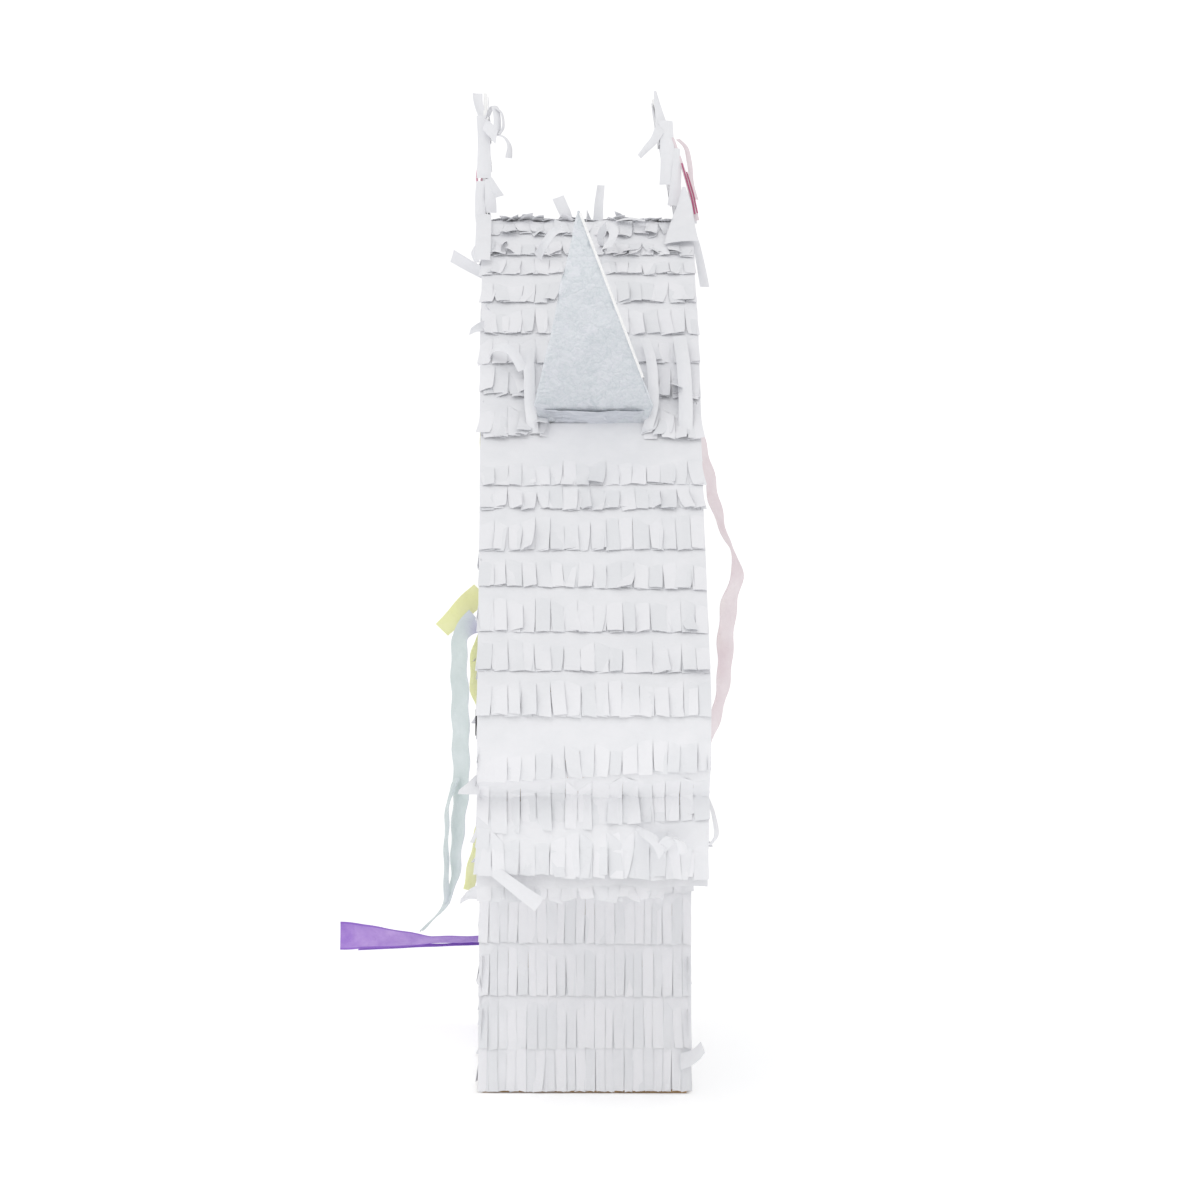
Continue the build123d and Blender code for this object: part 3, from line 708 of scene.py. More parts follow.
# %% Crest rows
ROW_PITCH = 22 * MM
FLOOR_CLEARANCE = 0.9 * MM
crest_start, crest_end = station_of((42, 374)), stations[-1]
crest_count = math.ceil((crest_end - crest_start) / ROW_PITCH)
for number in reversed(range(crest_count)):
    low = crest_end - FLOOR_CLEARANCE - number * ROW_PITCH
    top = max(low - ROW_LENGTH, crest_start - 3 * MM)
    if low - top < 12 * MM:
        continue
    piece = fringed_row(f"crest_row_{number:02d}", on_crest(top), (-EDGE, EDGE), low - top, 14 * MM,
                        FACE_WIDTH, 200 + number, CURLS["flat"])
    add_row(piece, "shell", "crepe_crest")


# %% Crown and flap rows
def on_crown(y_glue):
    """Rows that lie forwards on the level crown."""

    def place(u, v):
        return Vector((u, y_glue - v, CROWN_Z)), Vector((0, 0, 1)), Vector((1, 0, 0))

    return place


flap_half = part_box("fill_flap_board")[1][0]
CROWN_SIDE = 41.3 * MM
beside = (flap_half + 0.8 * MM, CROWN_SIDE)
# Name, glue line, half of the row or its reach, length, cut and kind
CROWN_ROWS = [
    ("crown_row_front", -10.5, (-43.2 * MM, 43.2 * MM), 19, 12, "fluffed"),
    ("crown_fluff_left", -17, (-37 * MM, -8 * MM), 19, 13, "crown"),
    ("crown_fluff_right", -17, (8 * MM, 38 * MM), 18, 13, "crown"),
    ("crown_row_left_front", 14, (-beside[1], -beside[0]), 25, 14, "flat"),
    ("crown_row_right_front", 14, beside, 25, 14, "flat"),
    ("crown_row_left_back", 36, (-beside[1], -beside[0]), 26, 14, "flat"),
    ("crown_row_right_back", 36, beside, 26, 14, "flat"),
]
for number, (name, glue, reach, length, cut, kind) in enumerate(CROWN_ROWS):
    piece = fringed_row(name, on_crown(glue * MM), reach, length * MM, cut * MM, FACE_WIDTH,
                        230 + number, CURLS[kind])
    add_row(piece, "shell", "crepe_crown")

for number, (name, glue, length) in enumerate([("flap_row_front", 11, 19), ("flap_row_back", 30, 24)]):
    piece = fringed_row(name, on_crown(glue * MM), (-flap_half + 0.3 * MM, flap_half - 0.3 * MM),
                        length * MM, 12 * MM, FACE_WIDTH, 240 + number, CURLS["flat"])
    add_row(piece, "fill_flap", "fill_flap_crepe")

# %% [markdown]
# ## Rows over the side panels
# The two big sides carry level rows from the base up. Where the outline slopes, the top of a strip
# follows the edge of the board, and under the jaw the strips are trimmed a little below it. They
# lie flatter beneath the ear tabs, the closed eyes and the streamers.

# %% Side rows
CALM_LIFT = 1.7 * MM
CALM_NODES = (
    "ear_left_tab", "ear_right_tab", "eye_left", "eye_right", "nostril_left", "nostril_right",
    "streamer_pink_left", "streamer_mint_left", "streamer_purple_left", "streamer_yellow_right",
    "streamer_mint_right", "streamer_purple_right")
calm_boxes = [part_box(node) for node in CALM_NODES]


def on_side(side, glue):
    """Level rows on a side panel; along the row is towards the back on the right side."""

    def place(u, v):
        return (Vector((side * HALF_WIDTH, side * u, glue - v)), Vector((side, 0, 0)),
                Vector((0, side, 0)))

    return place


def side_trim(side, glue, length):
    def trim(u):
        for top, bottom in spans_at(side * u):
            if bottom < glue - SHORTEST and top > glue - length + SHORTEST:
                return max(glue - top, 0.0), min(glue - bottom, length)
        if any(bottom >= glue - SHORTEST for top, bottom in spans_at(side * u)):
            return 0.0, 0.5 * MM
        return length - MM, length

    return trim


def side_calm(side, glue):
    def calm(u, v):
        y, z = side * u, glue - v
        for low, high in calm_boxes:
            near = low[1] - MM < y < high[1] + MM and low[2] - 2 * MM < z < high[2] + 3 * MM
            if near and low[0] * side > 0:
                return CALM_LIFT
        return 1.0

    return calm


side_count = int(CROWN_Z / ROW_PITCH)
for side, word in ((-1, "left"), (1, "right")):
    for number in range(side_count):
        bottom = FLOOR_CLEARANCE + number * ROW_PITCH
        glue = min(bottom + ROW_LENGTH, CROWN_Z - 0.3 * MM)
        length = glue - bottom
        heights = [glue - length * k / 8 for k in range(9)]
        reach = [y_low + k * SPAN_STEP for k in range(len(span_table))
                 if any(top >= z >= low for z in heights for top, low in span_table[k])]
        ends = sorted((side * min(reach), side * max(reach)))
        piece = fringed_row(f"side_row_{word}_{number:02d}", on_side(side, glue), tuple(ends), length,
                            13.5 * MM, FACE_WIDTH, 300 + 50 * (side > 0) + number,
                            CURLS["even"], trim=side_trim(side, glue, length),
                            calm=side_calm(side, glue))
        add_row(piece, "shell", f"crepe_side_{word}")
print("side rows:", 2 * side_count)

# %% [markdown]
# ## The horn
# The horn is a three-sided point folded from card, with one flat side to the front and a ridge
# behind, wrapped in foil paper. It starts here as a three-sided cone primitive, which is turned and
# scaled to the CAD horn's own corners. Its foot is drawn in to a collar, its long edges are
# rounded, and the skin is divided and dented so that the foil looks crushed by hand.

# %% Horn measures
horn_node = bpy.data.objects["horn_foil"]
BRIDGE_UP = Vector((0, 117, 142)).normalized()
HORN_OUT = Vector((0, -BRIDGE_UP.z, BRIDGE_UP.y))
HORN_SIZE = {"width": 48.0, "depth": 42.0, "collar": 12.0, "taper": 0.86, "length": 103.0,
             "lean": -7.9, "tip_up": -3.0, "foot_below": 52.5, "offset": 1.0}
HORN_SIZE = {key: value * (1 if key == "taper" else MM) for key, value in HORN_SIZE.items()}
forehead = Vector((HORN_SIZE["offset"], -86 * MM, 321 * MM))
horn_foot = forehead - BRIDGE_UP * (HORN_SIZE["foot_below"] - HORN_SIZE["depth"] / 2)
HORN_FRAME = Matrix((
    (1, BRIDGE_UP.x, HORN_OUT.x, horn_foot.x),
    (0, BRIDGE_UP.y, HORN_OUT.y, horn_foot.y),
    (0, BRIDGE_UP.z, HORN_OUT.z, horn_foot.z),
    (0, 0, 0, 1),
))
print("horn stands", round(math.degrees(math.asin(HORN_OUT.z)), 1), "degrees above level")

# %% [markdown]
# Working in the horn's own frame keeps each step simple: Z runs along the horn and Y up the
# bridge. Only at the end is the mesh carried into place, so the object itself stays at the origin.


# %% Model the horn
def only(piece):
    bpy.ops.object.select_all(action="DESELECT")
    piece.select_set(True)
    bpy.context.view_layer.objects.active = piece


def select_where(piece, kind, test):
    """In edit mode, select just the vertices, edges or faces that pass a test."""
    bpy.ops.mesh.select_all(action="DESELECT")
    shell = bmesh.from_edit_mesh(piece.data)
    items = {"VERT": shell.verts, "EDGE": shell.edges, "FACE": shell.faces}[kind]
    bpy.ops.mesh.select_mode(type=kind)
    for item in items:
        if test(item):
            item.select_set(True)
    shell.select_flush_mode()
    bmesh.update_edit_mesh(piece.data)


def primitive(call, name, **settings):
    bpy.ops.object.select_all(action="DESELECT")
    call(**settings)
    piece = bpy.context.object
    piece.name = name
    piece.data.name = name
    return piece


def apply_modifier(piece, kind, **settings):
    only(piece)
    modifier = piece.modifiers.new(kind.lower(), kind)
    for name, value in settings.items():
        setattr(modifier, name, value)
    bpy.ops.object.modifier_apply(modifier=modifier.name)


horn = primitive(bpy.ops.mesh.primitive_cone_add, "horn_foil_skin", vertices=3,
                 radius1=HORN_SIZE["width"] / math.sqrt(3), radius2=0.3 * MM,
                 depth=HORN_SIZE["length"] - HORN_SIZE["collar"])
low_z = min(v.co.z for v in horn.data.vertices)
bpy.ops.object.mode_set(mode="EDIT")
select_where(horn, "FACE", lambda f: f.calc_center_median().z < low_z + MM)
bpy.ops.mesh.extrude_region_move(TRANSFORM_OT_translate={"value": (0, 0, -HORN_SIZE["collar"])})
bpy.ops.object.mode_set(mode="OBJECT")


corners = [(-0.5, 0.0), (0.5, 0.0), (0.0, 1.0)]
for v in horn.data.vertices:
    level = 0 if v.co.z < low_z - MM else (1 if v.co.z < low_z + MM else 2)
    angles = [math.atan2(-0.5, -0.866), math.atan2(-0.5, 0.866), math.pi / 2]
    angle = math.atan2(v.co.y, v.co.x)
    corner = corners[min(range(3), key=lambda k: abs(math.remainder(angle - angles[k], 2 * math.pi)))]
    size = (HORN_SIZE["taper"], 1.0, 0.012)[level]
    x = corner[0] * HORN_SIZE["width"] * size
    y = -HORN_SIZE["depth"] / 2 + corner[1] * HORN_SIZE["depth"] * size
    if level == 2:
        x += HORN_SIZE["lean"]
        y += HORN_SIZE["depth"] / 2 + HORN_SIZE["tip_up"]
    z = (0.0, HORN_SIZE["collar"], HORN_SIZE["length"])[level]
    v.co = (x, y, z)
print("horn corners:", len(horn.data.vertices))

# %% Round its edges and crush the foil
bpy.ops.object.mode_set(mode="EDIT")
bpy.ops.mesh.select_all(action="SELECT")
bpy.ops.mesh.normals_make_consistent(inside=False)
select_where(horn, "EDGE", lambda e: abs(e.verts[0].co.z - e.verts[1].co.z) > 20 * MM)
bpy.ops.mesh.bevel(offset=0.35 * MM, segments=2, affect="EDGES")
bpy.ops.mesh.select_all(action="SELECT")
bpy.ops.mesh.quads_convert_to_tris()
for _ in range(5):
    bpy.ops.mesh.select_all(action="SELECT")
    bpy.ops.mesh.subdivide(number_cuts=1)
bpy.ops.object.mode_set(mode="OBJECT")
dents = bpy.data.textures.new("foil_dents", "VORONOI")
dents.noise_scale = 7 * MM
dents.noise_intensity = 0.9
apply_modifier(horn, "DISPLACE", texture=dents, texture_coords="LOCAL", strength=-0.8 * MM,
               mid_level=0.7)
soft_dents = bpy.data.textures.new("foil_waves", "CLOUDS")
soft_dents.noise_scale = 18 * MM
apply_modifier(horn, "DISPLACE", texture=soft_dents, texture_coords="LOCAL", strength=1.4 * MM,
               mid_level=0.25)
horn.data.transform(HORN_FRAME)
horn.data.materials.append(foil_paper)
only(horn)
bpy.ops.object.shade_smooth_by_angle(angle=math.radians(18))
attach(horn, "shell")
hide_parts("horn_foil")
print("horn faces:", len(horn.data.polygons))

# %% [markdown]
# Along the horn's right edge the foil stops short and the raw edge of the white card shows as a
# thin bright line. It is a thin strip laid from the collar to the tip.


# %% Raw card edge of the horn
def ribbon_mesh(name, centre, sides, width, material, cup=0.0, ruffle=0.0, seed=0, across=4,
                taper=None, edge_tint=0.0):
    """A strip along centre points; sides gives the way across at each."""
    rng = random.Random(seed)
    phase = rng.uniform(0, 6.28)
    points, faces, uvs, tints = [], [], [], []
    run = 0.0
    for k, (spot, side) in enumerate(zip(centre, sides)):
        if k:
            run += (spot - centre[k - 1]).length
        ahead = centre[min(k + 1, len(centre) - 1)] - centre[max(k - 1, 0)]
        out = ahead.cross(side).normalized()
        t = k / (len(centre) - 1)
        wide = width * (taper(t) if taper else 1.0)
        for j in range(across + 1):
            c = 2 * j / across - 1
            wave = ruffle * c * c * math.sin(run / (5.5 * MM) * 2 + phase + (1.3 if c > 0 else 0))
            points.append(spot + side * (c * wide / 2) + out * (cup * (1 - c * c) + wave))
            uvs.append((c * wide / 2, run))
            tints.append(edge_tint if j in (0, across) else 0.2 * math.sin(run * 90 + phase))
    for k in range(len(centre) - 1):
        for j in range(across):
            a = k * (across + 1) + j
            faces.append((a, a + 1, a + across + 2, a + across + 1))
    piece = finish_paper(name, points, faces, uvs, tints, material)
    return piece, run


corner_low = HORN_FRAME @ Vector((HORN_SIZE["width"] / 2, -HORN_SIZE["depth"] / 2, HORN_SIZE["collar"]))
corner_tip = HORN_FRAME @ Vector((HORN_SIZE["lean"], HORN_SIZE["tip_up"], HORN_SIZE["length"]))
EDGE_PROUD = Vector((0.5, -1.6, -0.3)) * MM
edge_line = [corner_low.lerp(corner_tip, 0.15 + 0.845 * k / 12) + EDGE_PROUD for k in range(13)]
edge_side = Vector((0.92, -0.2, 0.36)).normalized()
horn_edge, _ = ribbon_mesh("horn_card_edge", edge_line, [edge_side] * 13, 1.0 * MM, card_white,
                           cup=0.3 * MM)
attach(horn_edge, "shell")


# %% [markdown]
# ## Streamers
# Each streamer is a strip of tissue cut from a sheet and glued by its top end to the crest. It
# hangs by its own weight, with a gentle wave and edges that ruffle. Its line is a smooth curve
# through a few points.

# %% Smooth lines
def smooth_line(points, steps=10):
    """Catmull-Rom points through the given ones."""
    points = [Vector(p) for p in points]
    padded = [2 * points[0] - points[1]] + points + [2 * points[-1] - points[-2]]
    line = []
    for k in range(1, len(padded) - 2):
        a, b, c, d = padded[k - 1:k + 3]
        for j in range(steps):
            t = j / steps
            line.append(0.5 * ((2 * b) + (c - a) * t + (2 * a - 5 * b + 4 * c - d) * t * t
                               + (3 * b - a - 3 * c + d) * t ** 3))
    line.append(points[-1])
    return line


def turning(ways, count):
    """Ways across the strip, turned smoothly from one to the next along it."""
    ways = [Vector(w).normalized() for w in ways]
    result = []
    for k in range(count):
        t = k / (count - 1) * (len(ways) - 1)
        j = min(int(t), len(ways) - 2)
        result.append(ways[j].lerp(ways[j + 1], t - j).normalized())
    return result


def streamer(name, node, points, ways, width, material, seed, taper=None, ruffle=0.5 * MM,
             cup=0.6 * MM, across=6, edge_tint=0.0):
    line = smooth_line([[c * MM for c in p] for p in points])
    sides = turning(ways, len(line))
    piece, run = ribbon_mesh(name, line, sides, width, material, cup=cup, ruffle=ruffle, seed=seed,
                             taper=taper, across=across, edge_tint=edge_tint)
    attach(piece, "shell")
    if node:
        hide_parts(node)
    return piece


COLOURS = {"pink": tissue_pink, "yellow": tissue_yellow, "mint": tissue_mint, "purple": tissue_purple}

# %% Streamers down the sides
rng = random.Random(7)
side_streamers = [
    "streamer_pink_left", "streamer_mint_left", "streamer_purple_left", "streamer_yellow_left_over",
    "streamer_yellow_right", "streamer_purple_right", "streamer_mint_right",
]
for number, node in enumerate(side_streamers):
    low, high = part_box(node)
    side = -1 if high[0] < 0 else 1
    colour = node.split("_")[1]
    near = min(abs(low[0]), abs(high[0])) / MM
    x = side * (near + (0.4 if side < 0 else 1.6))
    y = (low[1] + high[1]) / 2 / MM
    top, bottom = high[2] / MM, low[2] / MM
    swing = 0.3 if side < 0 else 3.5
    points = []
    for k in range(7):
        t = k / 6
        points.append((x + side * (0.3 + swing * t * t + rng.uniform(-0.3, 0.3) * t),
                       y + rng.uniform(-2.5, 2.5) * t, top + (bottom - top) * t))
    turn = 0.1 if side < 0 else 0.6
    ways = [(0, side, 0), (0.05 * side, side, 0), (rng.uniform(-turn, turn) / 2, side, 0),
            (rng.uniform(-turn, turn), side, 0)]
    streamer(node.replace("streamer", "mane"), node, points, ways, high[1] - low[1], COLOURS[colour],
             500 + number, ruffle=0.15 * MM if side < 0 else 0.5 * MM,
             cup=0.2 * MM if side < 0 else 0.6 * MM)

# %% Streamers down the back
for number, colour in enumerate(("pink", "yellow", "mint", "purple")):
    node = f"streamer_{colour}_back"
    low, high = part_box(node)
    x = (low[0] + high[0]) / 2 / MM
    top, bottom = high[2] / MM, low[2] / MM
    back = high[1] / MM
    points = [(x, low[1] / MM + 0.5, top)]
    shoulder = top - 40
    for k in range(6):
        t = k / 5
        points.append((x + rng.uniform(-3, 3) * t, back + 0.5 + 2 * math.sin(3 * t + number) * t,
                       shoulder + (bottom - shoulder) * t))
    ways = [(1, 0, 0), (1, 0.1, 0), (1, rng.uniform(-0.2, 0.2), 0), (1, rng.uniform(-0.3, 0.3), 0)]
    streamer(f"mane_{colour}_back", node, points, ways, 18 * MM, COLOURS[colour],
             520 + number)

# %% Streamers that stand out at the sides
streamer("mane_yellow_out", "streamer_yellow_out",
         [(-46.9, 99, 210.2), (-52.6, 99, 205.4), (-58.9, 98.5, 199.0), (-66.1, 98, 191.7)],
         [(0.7, -0.1, -0.7), (0.72, -0.2, -0.68), (0.62, -0.45, -0.62), (0.55, -0.65, -0.5)],
         10.8 * MM, tissue_yellow, 540, ruffle=0.25 * MM)
streamer("mane_mint_out", "streamer_mint_out",
         [(-49, 90, 197), (-55.2, 87, 192), (-57.5, 84, 182.4), (-56.8, 82, 158.5), (-56.2, 82, 129.8),
          (-56.1, 82, 115.4), (-57.8, 82, 91.5), (-59.1, 82, 72.3), (-65.2, 82, 57.5), (-74.7, 82, 47.8)],
         [(0.6, -0.4, -0.7), (0.6, -0.9, -0.2), (0.7, -0.8, 0), (0.7, -0.9, 0), (0.6, -0.9, 0),
          (0.45, -1, 0.1), (0.3, -1, 0.3)],
         13 * MM, tissue_mint, 541,
         taper=lambda t: 1.0 if t < 0.55 else 1.0 - 0.65 * (t - 0.55) / 0.45)
streamer("mane_mint_strand", None,
         [(-57.5, 80, 121), (-60, 80, 116.6), (-62.4, 80, 105.8), (-62.8, 80, 84), (-62.4, 80, 61.3)],
         [(0.8, -0.5, 0), (0.6, -0.8, 0), (0.9, -0.3, 0)], 3.0 * MM, tissue_mint, 545)
streamer("mane_yellow_low", "streamer_yellow_low",
         [(-47.2, 97, 192.8), (-49.8, 97, 182.2), (-49.7, 97, 163.8), (-45.9, 97, 147.4), (-45.7, 97, 112.1),
          (-48.4, 97, 91.2), (-52.4, 97, 66.1)],
         [(0, -1, 0), (0.45, -0.9, 0), (0.45, -0.9, 0), (0.2, -1, 0), (0.5, -0.85, 0)], 11 * MM,
         tissue_yellow, 542)
streamer("mane_pink_out", "streamer_pink_out",
         [(46.8, 66, 302), (54, 66, 290), (59.5, 66, 272), (64.5, 66, 250), (69.5, 66, 236), (74.6, 66, 222),
          (70.8, 66, 206), (69, 66, 186), (68.5, 66, 170), (64, 66, 148), (56, 66, 124)],
         [(0.3, 1, 0), (0.5, 1, 0), (0.6, 1, 0), (0.2, 1, 0), (0.8, 0.8, 0.1), (0.75, 0.8, 0),
          (0.6, 1, 0), (0.2, 1, 0)],
         12 * MM, tissue_pink, 543)
streamer("mane_purple_ribbon", "ribbon_purple",
         [(-45.8, 66, 46), (-57, 66, 45.8), (-69.9, 66, 45.6), (-80, 66.3, 45.8), (-91, 66.6, 46.4),
          (-102, 67, 47), (-112.4, 67, 47.2)],
         [(0, 1, 0.12), (0, 1, 0.12), (0, 1, 0.15), (0, 0.92, 0.4), (0, 0.81, 0.58), (0, 0.6, 0.8),
          (0, 0.1, 1)], 13.2 * MM, tissue_purple, 544, ruffle=0.15 * MM, across=12,
         edge_tint=-2.2)
streamer("mane_purple_under", None,
         [(-45.8, 69, 43.6), (-60, 69, 43), (-75, 69, 42.4), (-92, 69, 41.4), (-104, 69, 40.8)],
         [(0, 1, 0.3), (0, 1, 0.35), (0, 1, 0.2)], 3.0 * MM, tissue_purple, 546,
         ruffle=0.1 * MM, edge_tint=-2.2)

# %% [markdown]
# ## The fold at the horn's foot
# Where the foil is gathered in at the horn's foot it doubles into a band about 8 mm deep. It faces
# further down than the horn does and is pressed into long level creases, with painted shade along their lines, so it
# reads darker.

# %% Folded foil band
BAND_LINE = [(-18, 6), (-21.4, 0.4), (-12, -0.9), (0, -1.2), (11, -1.0), (21.6, 0.4), (19, 7)]
BAND_MIDDLE = 5.0 * MM
band_points = [HORN_FRAME @ Vector((x * MM, y * MM - HORN_SIZE["depth"] / 2, BAND_MIDDLE))
               for x, y in BAND_LINE]
band_points = smooth_line(band_points, steps=14)
band_way = (HORN_FRAME.to_3x3() @ Vector((0, -0.14, 1))).normalized()
horn_band, _ = ribbon_mesh("horn_foil_band", band_points, [band_way] * len(band_points), 9.6 * MM,
                           foil_fold, cup=-0.3 * MM, ruffle=0.25 * MM, seed=41, across=10)
pleats = bpy.data.textures.new("foil_pleats", "CLOUDS")
pleats.noise_scale = 6 * MM
apply_modifier(horn_band, "DISPLACE", texture=pleats, texture_coords="LOCAL", strength=1.3 * MM,
               mid_level=0.5)
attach(horn_band, "shell")

# %% [markdown]
# ## Ears
# An ear is a pointed leaf of card, creased where it leaves its glued tab. Outside it is lined with
# rose tissue that has been scrunched and glued on, and inside it carries its own short fringe.


# %% Ear places
EAR_REST_LEAN = {"left": 0.0, "right": 14.0}
EAR_Y = sum(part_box("ear_left_card")[i][1] for i in (0, 1)) / 2
EAR_X = abs(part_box("ear_left_tab")[0][0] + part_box("ear_left_tab")[1][0]) / 2
EAR_CARD = 0.8 * MM
EAR_HALF = 21.0 * MM
EAR_TOP = 63.0 * MM


def ear_turn(word):
    """The turn that carries an upright ear to its resting lean, about its crease."""
    side = -1 if word == "left" else 1
    crease = Vector((side * EAR_X, EAR_Y, CROWN_Z))
    lean = math.radians(-side * EAR_REST_LEAN[word])
    return Matrix.Translation(crease) @ Matrix.Rotation(lean, 4, "Y"), side


def ear_half_width(height):
    """Half the leaf's width at a height above the crease."""
    t = max(0.0, min(1.0, height / EAR_TOP))
    return EAR_HALF * 1.04 * max(0.0, 1 - ((t - 0.12) / 0.88) ** 2) ** 0.9 if t > 0.12 else EAR_HALF * 1.04


def on_ear(word, glue, face, offset):
    """Rows on a face of an ear: face 1 is the outer one and -1 the inner one."""
    turn, side = ear_turn(word)
    out = side * face

    def place(u, v):
        spot = turn @ Vector((out * (EAR_CARD + offset), out * u, glue - v))
        way = (turn.to_3x3() @ Vector((out, 0, 0))).normalized()
        return spot, way, Vector((0, out, 0))

    return place


# %% Fringe on the ears
EAR_ROWS = [(23, 18.5), (37, 21), (50, 21), (61.5, 20)]
for word in ("left", "right"):
    for number, (glue, length) in enumerate(EAR_ROWS):
        glue, length = glue * MM, length * MM
        half = ear_half_width(glue - length * 0.6)
        place = on_ear(word, glue, -1, 0.2 * MM)

        def trim(u, glue=glue, length=length):
            top = next((glue - k * MM for k in range(40) if ear_half_width(glue - k * MM) > abs(u)), 0)
            return min(max(glue - top, 0.0), length), length

        piece = fringed_row(f"ear_{word}_row_{number}", place, (-half, half), length, 12 * MM,
                            4.6 * MM, 600 + 20 * (word == "right") + number,
                            CURLS["flat"], trim=trim)
        add_row(piece, f"{word}_ear", f"ear_{word}_crepe")

# %% [markdown]
# The lining is scrunched: a flat grid, cut to the leaf's shape, whose points are pushed out along
# soft ridges that run up the ear.


# %% Rose lining
def ear_lining(word):
    turn, side = ear_turn(word)
    piece = primitive(bpy.ops.mesh.primitive_grid_add, f"ear_{word}_lining_tissue",
                      x_subdivisions=40, y_subdivisions=60, size=1.0)
    rng = random.Random(700 + (word == "right"))
    waves = [(rng.uniform(120, 420), rng.uniform(0, 6.3), rng.uniform(-60, 60)) for _ in range(7)]
    low_z, high_z = 2.2 * MM, EAR_TOP - 9 * MM
    for v in piece.data.vertices:
        across, up = 2 * v.co.x, v.co.y + 0.5
        z = low_z + (high_z - low_z) * up
        half = max(ear_half_width(z + 6 * MM) - 5 * MM, 0.3 * MM)
        y = across * half
        ridge = sum(math.sin(y * a + z * c + b) for a, b, c in waves) / len(waves)
        edge = max(0.0, 1 - across ** 8)
        x = side * (EAR_CARD + 0.25 * MM + (0.55 + 0.6 * ridge) * MM * edge)
        v.co = (x, y, z)
    piece.data.transform(turn)
    bpy.ops.object.mode_set(mode="EDIT")
    bpy.ops.mesh.select_all(action="SELECT")
    bpy.ops.mesh.normals_make_consistent(inside=False)
    bpy.ops.object.mode_set(mode="OBJECT")
    apply_modifier(piece, "SOLIDIFY", thickness=PAPER, offset=0.0)
    tint = piece.data.attributes.new("tint", "FLOAT", "POINT")
    for v in piece.data.vertices:
        tint.data[v.index].value = 0.8 * math.sin(v.co.y * 700 + v.co.z * 60)
    piece.data.materials.append(tissue_rose)
    only(piece)
    bpy.ops.object.shade_smooth_by_angle(angle=math.radians(60))
    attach(piece, f"{word}_ear")
    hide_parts(f"ear_{word}_lining")
    return piece


for word in ("left", "right"):
    ear_lining(word)


# %% [markdown]
# ## Stray strips
# Handling leaves a few strips out of line: some stand up behind the horn, some curl off the ears,
# and some flakes stick out past the sides. Each is a short ribbon of its own.

